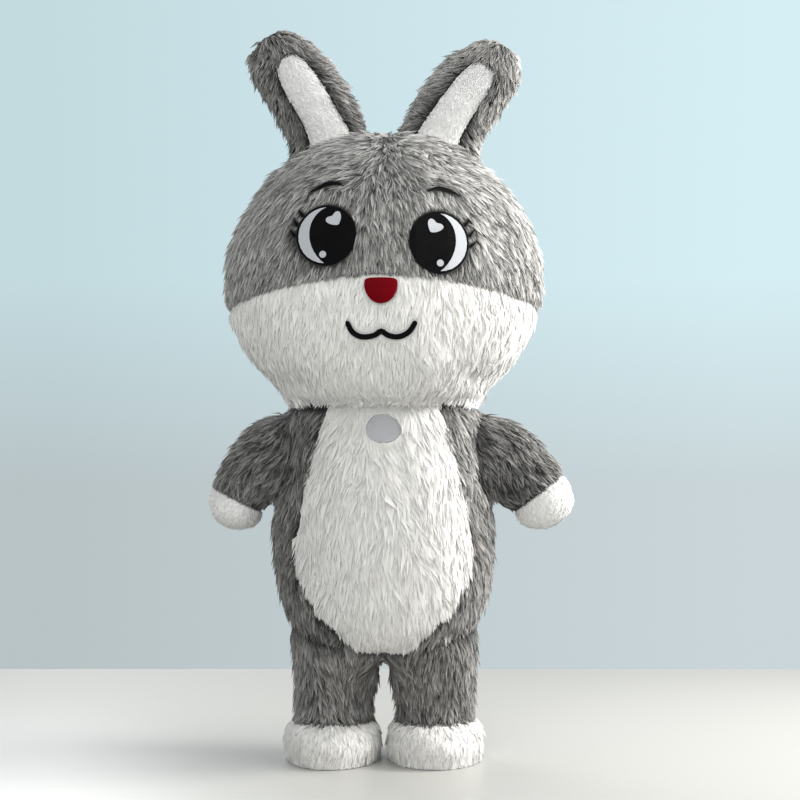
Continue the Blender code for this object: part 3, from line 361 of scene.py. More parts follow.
# %% Felt, satin, mesh, tape, sole, metal and plastic
Finish = namedtuple("Finish", "group colour roughness shine bump inputs")
PLAIN_FINISHES = {
    "black_felt": Finish(felt, (0.0040, 0.0040, 0.0045), 0.95, 0.06, 0.30, {"Uneven": 0.8}),
    "white_felt": Finish(felt, (0.43, 0.44, 0.46), 0.80, 0.20, 0.25, {"Uneven": 0.12}),
    "red_satin": Finish(felt, (0.130, 0.0008, 0.0035), 0.60, 0.03, 0.20, {"Uneven": 0.35}),
    "window_mesh": Finish(weave, (0.53, 0.53, 0.55), 0.70, 0.25, 0.40, {"Threads": 260.0, "Depth": 0.35}),
    "zip_tape": Finish(weave, (0.055, 0.055, 0.060), 0.75, 0.30, 0.40, {"Threads": 320.0, "Depth": 0.5}),
    "sole_cloth": Finish(weave, (0.085, 0.085, 0.090), 0.60, 0.50, 0.50, {"Threads": 180.0, "Depth": 0.5}),
    "plastic": Finish(felt, (0.028, 0.028, 0.030), 0.42, 0.50, 0.08, {"Uneven": 0.3}),
    "zip_teeth": Finish(felt, (0.030, 0.030, 0.033), 0.35, 0.50, 0.05, {"Uneven": 0.3}),
    "thread": Finish(felt, (0.180, 0.178, 0.175), 0.70, 0.50, 0.20, {"Uneven": 0.4}),
}
BUMP_HEIGHT = 0.0008
METAL_COLOUR = (0.50, 0.50, 0.51)
METAL_ROUGHNESS = (0.22, 0.34, 0.48)


def plain_material(slot):
    finish = PLAIN_FINISHES[slot]
    made, tree, shader = new_material(slot, finish.colour, finish.roughness, Specular_IOR_Level=finish.shine)
    group = add_node(tree, "ShaderNodeGroup", node_tree=finish.group)
    group.inputs["Colour"].default_value = (*finish.colour, 1.0)
    for key, value in finish.inputs.items():
        group.inputs[key].default_value = value
    tree.links.new(group.outputs["Color"], shader.inputs["Base Color"])
    bump = add_node(tree, "ShaderNodeBump", [("Height", group.outputs["Height"])], Distance=BUMP_HEIGHT)
    bump.inputs["Strength"].default_value = finish.bump
    tree.links.new(bump.outputs["Normal"], shader.inputs["Normal"])
    return made


def metal_material():
    """Dull plated metal, which hands have worn smoother in some places than in others."""
    smooth, middling, rough = METAL_ROUGHNESS
    made, tree, shader = new_material("metal", METAL_COLOUR, middling, Metallic=1.0)
    worn = noise(tree, add_node(tree, "ShaderNodeTexCoord").outputs["Object"], 300.0, 4.0)
    spread = add_node(tree, "ShaderNodeMapRange", [("Value", worn)], To_Min=smooth, To_Max=rough)
    tree.links.new(spread.outputs["Result"], shader.inputs["Roughness"])
    return made


for slot in PLAIN_FINISHES:
    finishes[slot] = plain_material(slot)
finishes["metal"] = metal_material()
print("finishes", sorted(finishes))

# %% [markdown]
# ## One smooth skin for the whole suit
#
# Neighbouring panels are sewn to each other, so their surfaces run on smoothly over the seams. The outer
# faces of all plush walls are gathered in one mesh, merged at the seams and rounded by one subdivision
# surface. Each face remembers its panel. The smooth skin is then drawn in a little, pulled down into
# shallow grooves along the tight seams and into a few soft creases, and cut back into its panels.

# %% Panels
Panel = namedtuple("Panel", "slot flat area")
PANELS = {
    "belly": Panel("white_pile", (0.75, 1.12), 0.62),
    "face": Panel("white_pile", (1.75, 0.75), 1.05),
    "forehead": Panel("pale_grey_pile", (1.75, 0.75), 1.03),
}
SIDED = {
    "side": Panel("grey_pile", (0.36, 0.98), 0.245),
    "back": Panel("grey_pile", (0.68, 1.08), 0.54),
    "crown": Panel("pale_grey_pile", (0.60, 1.10), 0.48),
    "head_back": Panel("pale_grey_pile", (0.80, 0.98), 0.64),
    "sleeve": Panel("grey_pile", (0.95, 0.42), 0.295),
    "mitt": Panel("short_white_pile", (0.55, 0.30), 0.12),
    "leg": Panel("grey_pile", (1.20, 0.42), 0.44),
    "foot": Panel("white_pile", (1.45, 0.22), 0.265),
    "ear_front": Panel("grey_pile", (0.30, 0.55), 0.122),
    "ear_back": Panel("grey_pile", (0.34, 0.62), 0.185),
    "ear_inner": Panel("short_white_pile", (0.15, 0.45), 0.058),
}
for side in ("left", "right"):
    for kind, panel in SIDED.items():
        PANELS[f"{side}_{kind}"] = panel
# The right mitt is the smaller one, so it has a cut of its own
PANELS["right_mitt"] = Panel("short_white_pile", (0.47, 0.25), 0.09)
PANEL_NAMES = list(PANELS)
KIND_OF = [name.replace("left_", "").replace("right_", "") for name in PANEL_NAMES]
print("plush panels", len(PANELS))

# %% Gather the walls
MERGED = 1e-5


def gather_walls():
    """All plush walls in one mesh, where each face and each vertex knows its panel."""
    walls = bmesh.new()
    panel_of = walls.faces.layers.int.new("panel")
    owner = walls.verts.layers.int.new("owner")
    for index, name in enumerate(PANEL_NAMES):
        one = bmesh.new()
        one.from_mesh(nodes[name].data)
        bmesh.ops.remove_doubles(one, verts=one.verts, dist=MERGED)
        mesh = bpy.data.meshes.new("wall")
        one.to_mesh(mesh)
        one.free()
        faces = len(walls.faces)
        verts = len(walls.verts)
        walls.from_mesh(mesh)
        bpy.data.meshes.remove(mesh)
        walls.faces.ensure_lookup_table()
        walls.verts.ensure_lookup_table()
        for face in walls.faces[faces:]:
            face[panel_of] = index
        for vert in walls.verts[verts:]:
            vert[owner] = index
    walls.verts.index_update()
    walls.normal_update()
    return walls


walls = gather_walls()
print("wall faces", len(walls.faces))

# %% Sew the outer faces together
SEAM_REACH = 0.0014
SHARP = math.radians(62.0)
# Two triangles become a quad where they lie flat enough to each other and make a square enough shape
JOIN_FLAT = 0.7
JOIN_SQUARE = 1.4


def tree_of(points):
    """A search tree that finds the nearest of the points."""
    tree = kdtree.KDTree(len(points))
    for index, point in enumerate(points):
        tree.insert(point, index)
    tree.balance()
    return tree


def seam_partners(walls):
    """For each vertex, the first vertex of a neighbour that it is sewn to, or itself."""
    owner = walls.verts.layers.int["owner"]
    tree = tree_of([vert.co for vert in walls.verts])
    first = list(range(len(walls.verts)))
    for vert in walls.verts:
        near = [index for _, index, _ in tree.find_range(vert.co, SEAM_REACH) if index < vert.index]
        near = [index for index in near if walls.verts[index][owner] != vert[owner]]
        if near:
            first[vert.index] = first[min(near)]
    return first


def outer_patch(faces):
    """The largest patch between sharp edges: the side of a wall that looks outwards."""
    left = set(faces)
    best = []
    most = 0.0
    while left:
        stack = [left.pop()]
        patch = []
        while stack:
            face = stack.pop()
            patch.append(face)
            for other in (f for edge in face.edges for f in edge.link_faces):
                if other in left and other.normal.angle(face.normal, 0.0) < SHARP:
                    left.discard(other)
                    stack.append(other)
        area = sum(face.calc_area() for face in patch)
        if area > most:
            best = patch
            most = area
    return best


def sew(walls):
    panel_of = walls.faces.layers.int["panel"]
    first = seam_partners(walls)
    meeting = Counter(frozenset(first[v.index] for v in face.verts) for face in walls.faces)
    by_panel = {index: [] for index in range(len(PANEL_NAMES))}
    for face in walls.faces:
        if meeting[frozenset(first[v.index] for v in face.verts)] == 1:
            by_panel[face[panel_of]].append(face)
    keep = set()
    for faces in by_panel.values():
        keep.update(outer_patch(faces))
    used = {vert.index for face in keep for vert in face.verts}
    target = {}
    for index in used:
        if first[index] != index and first[index] in used:
            target[walls.verts[index]] = walls.verts[first[index]]
    bmesh.ops.delete(walls, geom=[f for f in walls.faces if f not in keep], context="FACES")
    bmesh.ops.weld_verts(walls, targetmap=target)
    bmesh.ops.join_triangles(
        walls,
        faces=walls.faces,
        cmp_seam=False,
        angle_face_threshold=JOIN_FLAT,
        angle_shape_threshold=JOIN_SQUARE,
    )


sew(walls)
open_edges = [e for e in walls.edges if len(e.link_faces) == 1]
odd_edges = [e for e in walls.edges if len(e.link_faces) > 2]
quads = sum(1 for f in walls.faces if len(f.verts) == 4)
print("sewn faces", len(walls.faces), "quads", quads, "open edges", len(open_edges), "odd", len(odd_edges))

# %% [markdown]
# Catmull-Clark subdivision rounds the coarse faces into one smooth surface, and each small face still knows
# its panel. The points are then moved by numbers: all of them a little inwards, to leave room for the
# pile, deeper along the seams that the fur hides, and by a slow unevenness, as cloth on air has.

# %% Smooth skin
ROUNDING = 2


def rounded(walls):
    mesh = bpy.data.meshes.new("smooth_skin")
    walls.to_mesh(mesh)
    whole = bpy.data.objects.new("smooth_skin", mesh)
    scene.collection.objects.link(whole)
    smooth = whole.modifiers.new("smooth", "SUBSURF")
    smooth.levels = ROUNDING
    smooth.render_levels = ROUNDING
    done = bpy.data.meshes.new_from_object(whole.evaluated_get(bpy.context.evaluated_depsgraph_get()))
    bpy.data.objects.remove(whole)
    return done


def read_numbers(collection, attribute, width, kind=float):
    """One attribute of a mesh's parts as a numpy array, a row a part."""
    numbers = np.zeros(len(collection) * width, kind)
    collection.foreach_get(attribute, numbers)
    return numbers.reshape(-1, width) if width > 1 else numbers


def unit(vectors):
    return vectors / np.maximum(np.linalg.norm(vectors, axis=-1, keepdims=True), 1e-9)


WAVES = 7
WAVE_PITCHES = (0.8, 2.2)
WAVE_SUM = 3.0


def waves(points, size, seed):
    """Slow smooth noise, about -1 to 1, whose hills are about one size across."""
    rng = np.random.default_rng(seed)
    directions = unit(rng.normal(size=(WAVES, 3)))
    pitches = 2.0 * math.pi / (size * rng.uniform(*WAVE_PITCHES, WAVES))
    phases = rng.uniform(0.0, 2.0 * math.pi, WAVES)
    return np.sin(points @ (directions * pitches[:, None]).T + phases).sum(axis=1) / WAVE_SUM


skin = rounded(walls)
walls.free()
skin_panel = read_numbers(skin.attributes["panel"].data, "value", 1, np.int32)
print("smooth skin faces", len(skin.polygons))

# %% Seams that pull in
Seam = namedtuple("Seam", "one other depth width")
SEAMS = [
    Seam("sleeve", "side", 0.034, 0.030),
    Seam("sleeve", "back", 0.030, 0.030),
    Seam("sleeve", "mitt", 0.007, 0.018),
    Seam("forehead", "crown", 0.005, 0.018),
    Seam("head_back", "crown", 0.006, 0.018),
    Seam("forehead", "face", 0.003, 0.020),
    Seam("forehead", "head_back", 0.003, 0.020),
    Seam("face", "head_back", 0.004, 0.020),
    Seam("face", "belly", 0.002, 0.022),
    Seam("face", "side", 0.006, 0.024),
    Seam("head_back", "back", 0.010, 0.028),
    Seam("belly", "side", 0.004, 0.018),
    Seam("side", "back", 0.004, 0.018),
    Seam("back", "back", 0.004, 0.018),
    Seam("crown", "crown", 0.003, 0.016),
    Seam("leg", "side", 0.017, 0.026),
    Seam("leg", "belly", 0.006, 0.024),
    Seam("leg", "back", 0.012, 0.030),
    Seam("leg", "leg", 0.010, 0.030),
    Seam("leg", "foot", 0.006, 0.018),
    Seam("crown", "ear_front", 0.012, 0.020),
    Seam("crown", "ear_back", 0.012, 0.020),
    Seam("ear_inner", "ear_front", 0.008, 0.012),
    Seam("ear_front", "ear_back", 0.002, 0.012),
]
# Seams of this depth or more also darken the hairs beside them, as painted shade
DEEP = 0.007
# The heights between which the armhole's seam pulls in, and the share that is left of it elsewhere. It
# counts as deep where more than the last share is left.
ARMHOLE = (1.04, 1.11, 1.27, 1.37)
OFF_ARMHOLE = 0.08
ARMHOLE_IS_DEEP = 0.3


def seam_kind(one, other):
    """The kind of seam between two kinds of panel, whichever is named first."""
    return tuple(sorted((one, other)))


def seam_edges(mesh, panel):
    """The middle of each edge between two panels, and the two panels' numbers."""
    middles = []
    owners = []
    sides = {}
    co = read_numbers(mesh.vertices, "co", 3)
    for face in mesh.polygons:
        for key in face.edge_keys:
            sides.setdefault(key, []).append(panel[face.index])
    for (a, b), both in sides.items():
        if len(both) == 2 and both[0] != both[1]:
            middles.append((co[a] + co[b]) / 2)
            owners.append(both)
    return np.array(middles), np.array(owners)


def seam_points(middles, owners):
    """The points along each kind of seam."""
    points = {}
    for (one, other), middle in zip(owners, middles):
        points.setdefault(seam_kind(KIND_OF[one], KIND_OF[other]), []).append(middle)
    return points


def at_armhole(z):
    """1 along the armhole's front and back, falling to almost nothing under the arm and on the shoulder."""
    under, low, high, top = ARMHOLE
    return np.clip(np.minimum((z - under) / (low - under), (top - z) / (top - high)), OFF_ARMHOLE, 1.0)


def pull_in(mesh, found):
    """How far each point of the skin moves inwards because of the seams near it."""
    co = read_numbers(mesh.vertices, "co", 3)
    depth = np.zeros(len(co))
    for seam in SEAMS:
        tree = tree_of(found[seam_kind(seam.one, seam.other)])
        away = np.array([tree.find(point)[2] for point in co])
        pulled = seam.depth * np.exp(-((away / seam.width) ** 2))
        if seam.one == "sleeve":
            pulled *= at_armhole(co[:, 2])
        depth = np.maximum(depth, pulled)
    return depth


seam_middles, seam_owners = seam_edges(skin, skin_panel)
found_seams = seam_points(seam_middles, seam_owners)
seam_depth = pull_in(skin, found_seams)
deep_points = [
    point
    for seam in SEAMS
    if seam.depth >= DEEP
    for point in found_seams[seam_kind(seam.one, seam.other)]
    if seam.one != "sleeve" or at_armhole(point[2]) > ARMHOLE_IS_DEEP
]
deep_seams = tree_of(deep_points)
own_seams = [tree_of(seam_middles[(seam_owners == index).any(axis=1)]) for index in range(len(PANEL_NAMES))]
print("kinds of seam", len(found_seams), "deepest", round(float(seam_depth.max()), 4))

# %% Creases
# Places are seen from the front, counted from the suit's middle plane and from the floor
Crease = namedtuple("Crease", "facing start middle end depth width")
CREASES = [
    Crease("front", (0.435, 1.150), (0.500, 1.185), (0.585, 1.240), 0.012, 0.026),
    Crease("front", (0.420, 1.215), (0.470, 1.270), (0.520, 1.350), 0.007, 0.024),
    Crease("front", (-0.345, 1.160), (-0.400, 1.205), (-0.470, 1.245), 0.010, 0.026),
    Crease("front", (-0.330, 1.260), (-0.380, 1.320), (-0.440, 1.370), 0.006, 0.024),
    Crease("front", (0.400, 1.060), (0.370, 0.970), (0.350, 0.880), 0.008, 0.030),
    Crease("front", (-0.375, 1.060), (-0.345, 0.985), (-0.335, 0.900), 0.009, 0.030),
    Crease("front", (-0.140, 1.240), (-0.105, 1.150), (-0.090, 1.060), 0.005, 0.034),
    Crease("front", (0.050, 1.270), (0.070, 1.190), (0.068, 1.110), 0.005, 0.030),
    Crease("front", (-0.030, 0.720), (0.060, 0.700), (0.150, 0.735), 0.005, 0.036),
    Crease("front", (-0.320, 0.340), (-0.250, 0.320), (-0.180, 0.335), 0.006, 0.026),
    Crease("front", (-0.300, 0.240), (-0.200, 0.225), (-0.110, 0.245), 0.007, 0.024),
    Crease("front", (0.060, 0.360), (0.120, 0.335), (0.190, 0.350), 0.006, 0.026),
    Crease("front", (0.080, 0.235), (0.180, 0.220), (0.280, 0.245), 0.007, 0.024),
    Crease("back", (0.430, 1.150), (0.490, 1.190), (0.575, 1.235), 0.011, 0.026),
    Crease("back", (-0.340, 1.160), (-0.400, 1.200), (-0.475, 1.240), 0.010, 0.026),
    Crease("back", (0.030, 1.190), (0.100, 1.165), (0.190, 1.180), 0.006, 0.024),
    Crease("back", (-0.030, 1.090), (-0.110, 1.060), (-0.200, 1.070), 0.006, 0.024),
    Crease("back", (0.030, 0.930), (0.110, 0.905), (0.180, 0.915), 0.005, 0.024),
    Crease("back", (-0.350, 0.960), (-0.300, 0.870), (-0.290, 0.770), 0.008, 0.030),
    Crease("back", (0.380, 0.950), (0.330, 0.860), (0.310, 0.760), 0.008, 0.030),
    Crease("back", (-0.310, 0.330), (-0.230, 0.310), (-0.130, 0.325), 0.008, 0.026),
    Crease("back", (0.080, 0.345), (0.170, 0.320), (0.260, 0.335), 0.008, 0.026),
    Crease("back", (-0.290, 0.230), (-0.210, 0.215), (-0.120, 0.230), 0.006, 0.024),
    Crease("back", (0.090, 0.225), (0.180, 0.210), (0.280, 0.235), 0.006, 0.024),
]
CREASE_STEPS = 16
CREASE_STRAY = 0.005
CREASE_STRAY_SIZE = 0.12
CREASE_SEED = 40
CREASE_ENDS = (0.04, 0.96)
CREASE_FADE = 0.6


def crease_line(crease, surface):
    """Points along a crease on the skin, each found by a ray from in front or behind."""
    way = 1.0 if crease.facing == "front" else -1.0
    points = []
    for share in np.linspace(0.0, 1.0, CREASE_STEPS):
        parts = ((1.0 - share) ** 2, 2.0 * share * (1.0 - share), share**2)
        x, z = sum(np.array(p) * part for p, part in zip((crease.start, crease.middle, crease.end), parts))
        hit = surface.ray_cast((x + MIDDLE[0], MIDDLE[1] - 2.0 * way, z), (0.0, way, 0.0))[0]
        if hit is not None:
            points.append(np.array(hit))
    return np.array(points)


def crease_depth(mesh, co):
    """How far the listed creases pull each point in. Each is deepest in the middle and fades out."""
    surface = BVHTree.FromPolygons(co.tolist(), [tuple(p.vertices) for p in mesh.polygons])
    depth = np.zeros(len(co))
    for number, crease in enumerate(CREASES):
        line = crease_line(crease, surface)
        away = np.full(len(co), np.inf)
        share = np.zeros(len(co))
        for step, point in enumerate(line):
            reach = np.linalg.norm(co - point, axis=1)
            share = np.where(reach < away, step / (len(line) - 1), share)
            away = np.minimum(away, reach)
        away += CREASE_STRAY * waves(co, CREASE_STRAY_SIZE, CREASE_SEED + number)
        fade = np.sin(math.pi * np.clip(share, *CREASE_ENDS)) ** CREASE_FADE
        depth += crease.depth * fade * np.exp(-((away / crease.width) ** 2))
    return depth


print("creases", len(CREASES))

# %% [markdown]
# The pile stands on the backing, and its tips are where the solids' faces are, so the skin lies deeper than
# the solids: much under long pile, little under short. Near what is sewn on, such as the felt, the window
# and the zip, it stays close to them and even. Two more forms are put in here: the soft hollow under the
# cheeks, where the head draws in over the shoulders, and the sloping line from the neck over the shoulder.

# %% Move the skin
FRONT_PIECES = ["nose", "mouth", "window"]
for side in ("left", "right"):
    FRONT_PIECES += [f"{side}_eye", f"{side}_brow", f"{side}_lash_1", f"{side}_lash_2", f"{side}_lash_3"]
LAID_ON = FRONT_PIECES + ["left_zip_tape", "right_zip_tape", "blower_flange"]
DRAWN_IN = 0.0115
DRAWN_ELSE = {"mitt": 0.0015, "ear_inner": 0.0020, "ear_front": 0.0060, "ear_back": 0.0060}
DRAWN_AT_TRIM = 0.0030
EVENING_ROUNDS = 8
TRIM_REACH = 0.030
GROUND_FADE = 0.03
Hollow = namedtuple("Hollow", "height reach depth inner outer")
UNDER_CHEEKS = Hollow(1.495, 0.070, 0.020, 0.20, 0.34)
Shoulder = namedtuple("Shoulder", "off height reach depth")
SHOULDERS = (Shoulder(0.378, 1.400, 0.045, -0.017), Shoulder(0.455, 1.405, 0.045, 0.010))
Uneven = namedtuple("Uneven", "height size seed")
SLOW_UNEVEN = Uneven(0.0035, 0.22, 3)
QUICK_UNEVEN = Uneven(0.0015, 0.09, 4)


def drawn_under_pile(mesh, panel):
    """How far the skin lies under the solids for its pile's sake, evened out over the seams."""
    of_face = np.array([DRAWN_ELSE.get(kind, DRAWN_IN) for kind in KIND_OF])[panel]
    point = read_numbers(mesh.loops, "vertex_index", 1, np.int32)
    of_corner = np.repeat(of_face, read_numbers(mesh.polygons, "loop_total", 1, np.int32))
    drawn = np.bincount(point, of_corner) / np.bincount(point)
    one, other = read_numbers(mesh.edges, "vertices", 2, np.int32).T
    neighbours = np.bincount(one, minlength=len(drawn)) + np.bincount(other, minlength=len(drawn))
    for _ in range(EVENING_ROUNDS):
        around = np.bincount(one, drawn[other], len(drawn)) + np.bincount(other, drawn[one], len(drawn))
        drawn = (drawn + around / neighbours) / 2
    return drawn


def hollow_depth(co, hollow):
    """A soft hollow on both sides, where the head draws in over the shoulders."""
    off = np.abs(co[:, 0] - MIDDLE[0])
    share = np.clip((off - hollow.inner) / (hollow.outer - hollow.inner), 0.0, 1.0)
    return hollow.depth * share * np.exp(-(((co[:, 2] - hollow.height) / hollow.reach) ** 2))


def shoulder_depth(co):
    """Fills the dip between neck and sleeve and lowers the top of the sleeve, for one sloping line."""
    off = np.abs(co[:, 0] - MIDDLE[0])
    depth = np.zeros(len(co))
    for spot in SHOULDERS:
        away = np.hypot(off - spot.off, co[:, 2] - spot.height)
        depth += spot.depth * np.exp(-((away / spot.reach) ** 2))
    return depth


def unevenness(co, uneven):
    return uneven.height * waves(co, uneven.size, uneven.seed)


def move_skin(mesh):
    """Moves the skin's points inwards, by less and less just over the floor, so that the soles stay put."""
    co = read_numbers(mesh.vertices, "co", 3)
    normals = read_numbers(mesh.vertex_normals, "vector", 3)
    trim = tree_of([vert.co for name in LAID_ON for vert in nodes[name].data.vertices])
    away = np.array([trim.find(point)[2] for point in co])
    drawn = drawn_under_pile(mesh, skin_panel)
    at_trim = np.exp(-((away / TRIM_REACH) ** 2))
    drawn += (DRAWN_AT_TRIM - drawn) * at_trim
    inwards = drawn + seam_depth + crease_depth(mesh, co)
    inwards += hollow_depth(co, UNDER_CHEEKS) + shoulder_depth(co)
    inwards += (unevenness(co, SLOW_UNEVEN) + unevenness(co, QUICK_UNEVEN)) * (1.0 - at_trim)
    grounded = np.clip(co[:, 2] / GROUND_FADE, 0.0, 1.0)
    moved = co - normals * (inwards * grounded)[:, None]
    mesh.vertices.foreach_set("co", moved.ravel())
    mesh.update()
    return moved


skin_co = move_skin(skin)
skin_normals = read_numbers(skin.vertex_normals, "vector", 3)
print("skin height", round(float(skin_co[:, 2].max()), 3))

# %% [markdown]
# Each panel's backing is its share of the smooth skin with a thin inner layer, so it is a closed sheet of
# cloth. At a sharp corner of the skin the inner layer can shoot out far past the edge, as it does at the
# window's rim, so a point that lands too far from the outer layer is pulled back to it. The backing
# replaces the plain wall of the solids. What stands on it is the pile.

# %% Panel backings
BACKING = 0.0022
FARTHEST_INNER = 2.0 * BACKING
cloths = {}


def panel_cloth(name):
    index = PANEL_NAMES.index(name)
    bm = bmesh.new()
    bm.from_mesh(skin)
    panel_of = bm.faces.layers.int["panel"]
    bmesh.ops.delete(bm, geom=[face for face in bm.faces if face[panel_of] != index], context="FACES")
    bm.normal_update()
    outer = tree_of([vert.co for vert in bm.verts])
    bmesh.ops.solidify(bm, geom=bm.faces, thickness=BACKING)
    for vert in bm.verts:
        spot, _, away = outer.find(vert.co)
        if away > FARTHEST_INNER:
            vert.co = spot + (vert.co - spot) * (BACKING / away)
    for face in bm.faces:
        face.smooth = True
    mesh = bpy.data.meshes.new(f"{name}_cloth")
    bm.to_mesh(mesh)
    volume = bm.calc_volume(signed=True)
    bm.free()
    # The backing carries no hair values, so it takes the root colour made darker still: painted shade
    # between the hairs
    mesh.materials.append(finishes[PANELS[name].slot])
    cloth = bpy.data.objects.new(f"{name}_cloth", mesh)
    scene.collection.objects.link(cloth)
    return cloth, volume


for name in PANEL_NAMES:
    cloths[name], volume = panel_cloth(name)
    if volume <= 0.0:
        print("inside out", name)
print("backings", len(cloths), "faces", sum(len(cloth.data.polygons) for cloth in cloths.values()))

# %% [markdown]
# ## Where the pile is pressed flat
#
# Nothing grows through the felt of the face, the window, the zip or the blower. A map of small squares,
# seen from the front or the back, marks their places. A lock that would start on one is left out, and a
# lock that would lie over one is made shorter, as if it had been trimmed.

# %% Maps of the bare places
BACK_PIECES = ["left_zip_tape", "right_zip_tape", "zip_slider", "zip_pull", "blower_flange", "blower_duct"]
SQUARE = 0.002
MAP_LOW = np.array([-0.9, 0.0])
MAP_SHAPE = (900, 1500)
MAP_SEED = 5
SPOTS_A_SQUARE = 12
CLEARING = 5
# The pile round the window hides its rim, so only this share of its width and height is bare
WINDOW_SHOWS = 0.88


def squares(x, z):
    """The column and the row of the square that each place lies in, or the nearest on the map's edge."""
    column = ((x - MAP_LOW[0]) / SQUARE).astype(int)
    row = ((z - MAP_LOW[1]) / SQUARE).astype(int)
    return np.clip(column, 0, MAP_SHAPE[0] - 1), np.clip(row, 0, MAP_SHAPE[1] - 1)


def areas(corners):
    """The area of each triangle, from its corners."""
    return np.linalg.norm(np.cross(corners[:, 1] - corners[:, 0], corners[:, 2] - corners[:, 0]), axis=1) / 2


def on_triangles(corners, area, count, rng, values=None):
    """Random places on triangles, as many on a piece of surface as its area asks for."""
    chosen = rng.choice(len(area), size=count, p=area / area.sum())
    u = np.sqrt(rng.random(count))
    v = rng.random(count)
    shares = np.stack([1.0 - u, u * (1.0 - v), u * v], axis=1)[:, :, None]
    spots = (corners[chosen] * shares).sum(axis=1)
    if values is None:
        return spots
    return spots, (values[chosen] * shares).sum(axis=1)


def grown(covered):
    """The map with the four neighbours of each covered square covered too."""
    wider = covered.copy()
    wider[1:] |= covered[:-1]
    wider[:-1] |= covered[1:]
    wider[:, 1:] |= covered[:, :-1]
    wider[:, :-1] |= covered[:, 1:]
    return wider


def room_map(pieces):
    """0 on the squares that the pieces cover, rising to 1 at CLEARING squares from them."""
    covered = np.zeros(MAP_SHAPE, bool)
    rng = np.random.default_rng(MAP_SEED)
    for name in pieces:
        mesh = nodes[name].data
        mesh.calc_loop_triangles()
        co = read_numbers(mesh.vertices, "co", 3)
        corners = co[read_numbers(mesh.loop_triangles, "vertices", 3, np.int32)]
        area = areas(corners)
        count = int(area.sum() / SQUARE**2 * SPOTS_A_SQUARE)
        spots = on_triangles(corners, area, count, rng)
        if name == "window":
            spots = spots.mean(axis=0) + (spots - spots.mean(axis=0)) * WINDOW_SHOWS
        covered[squares(spots[:, 0], spots[:, 2])] = True
    covered = grown(covered)
    steps = np.zeros(MAP_SHAPE)
    for _ in range(CLEARING):
        steps[~covered] += 1.0 / CLEARING
        covered = grown(covered)
    return steps


front_room = room_map(FRONT_PIECES)
back_room = room_map(BACK_PIECES)
print("bare squares", int((front_room == 0.0).sum()), int((back_room == 0.0).sum()))


def room_at(points):
    """0 where a point lies over a bare place, rising to 1 some way off."""
    column, row = squares(points[:, 0], points[:, 2])
    return np.where(points[:, 1] < 0.0, front_room[column, row], back_room[column, row])


# %% [markdown]
# ## Pile
#
# Long plush isn't brushed evenly: its hairs gather in pointed locks that all lie roughly one way. It has
# a short, dull undercoat that hides the backing, and long, paler hairs that lie on it in fine strands. Three
# coats of hairs stand for that: short wide ones, long thin ones, and pale strands on top. The dark tones of
# the undercoat are partly painted shade deep in the pile. Each hair here is the slimmest closed form there
# is, with two points across its middle and one at each end, so it costs four triangles. The hairs of one
# panel are joined in one mesh, made from arrays of numbers, because an operator call for each of many
# thousand hairs would take far too long.

# %% How each panel's pile lies
# Hairs a square metre, their length and their height over the skin, and the parts of their direction: how
# much they spread sideways, part in the middle, stand away to front and back, and hang down. Then how far
# locks wander from that, and how much paler or darker the panel is than its cloth, which is partly its own
# tone and partly painted light and shade.
Pile = namedtuple("Pile", "density length lift spread part forward drop wander shade")
PILES = {
    "forehead": Pile(27000, 0.072, 0.0100, 1.80, 0.00, 0.0, 1.00, 0.9, -0.16),
    "crown": Pile(25500, 0.075, 0.011, 1.40, 0.35, 0.6, 0.45, 1.5, -0.24),
    "face": Pile(22500, 0.070, 0.0080, 0.70, 0.00, 0.0, 1.00, 0.7, 0.03),
    "head_back": Pile(17000, 0.080, 0.011, 0.60, 0.00, 0.0, 1.00, 1.0, -0.10),
    "belly": Pile(25000, 0.086, 0.0075, 1.30, 0.00, 0.0, 1.00, 0.8, -0.12),
    "side": Pile(27000, 0.072, 0.010, 0.90, 0.00, 0.0, 1.00, 0.8, 0.00),
    "back": Pile(16000, 0.080, 0.010, 0.30, 0.00, 0.0, 1.00, 1.0, 0.00),
    "leg": Pile(22500, 0.072, 0.010, 0.20, 0.00, 0.0, 1.00, 0.6, 0.06),
    "foot": Pile(24000, 0.056, 0.0065, 0.30, 0.00, 0.9, 1.00, 0.7, -0.04),
    "sleeve": Pile(23500, 0.065, 0.010, 0.00, 0.60, 0.0, 0.80, 1.0, -0.28),
    "mitt": Pile(26000, 0.018, 0.004, 0.00, 0.20, 0.0, 1.00, 1.0, 0.03),
    "ear_front": Pile(30000, 0.052, 0.012, 1.20, 0.00, 0.0, 1.00, 1.2, 0.20),
    "ear_back": Pile(18000, 0.060, 0.012, 1.20, 0.00, 0.0, 1.00, 1.0, 0.00),
    "ear_inner": Pile(44000, 0.020, 0.0035, 0.60, 0.00, 0.0, 1.00, 1.2, -0.08),
}
# Painted light and shade: one panel of a pair is made paler or darker than the other, where the light
# falls differently on the two sides
PILES["right_side"] = PILES["side"]._replace(shade=-0.34)
PILES["left_side"] = PILES["side"]._replace(shade=0.25)
PILES["left_sleeve"] = PILES["sleeve"]._replace(shade=-0.48)
PILES["right_mitt"] = PILES["mitt"]._replace(shade=0.10)
PILES["right_ear_front"] = PILES["ear_front"]._replace(shade=0.32)
PILES["left_ear_front"] = PILES["ear_front"]._replace(shade=1.05)
# A coat: its share of the hairs, their length as a share of the pile's, half their width, their height as a
# share of the pile's, how far their tips gather, and their darkest and palest tone
Coat = namedtuple("Coat", "share length half_width lift gather tone_low tone_high")
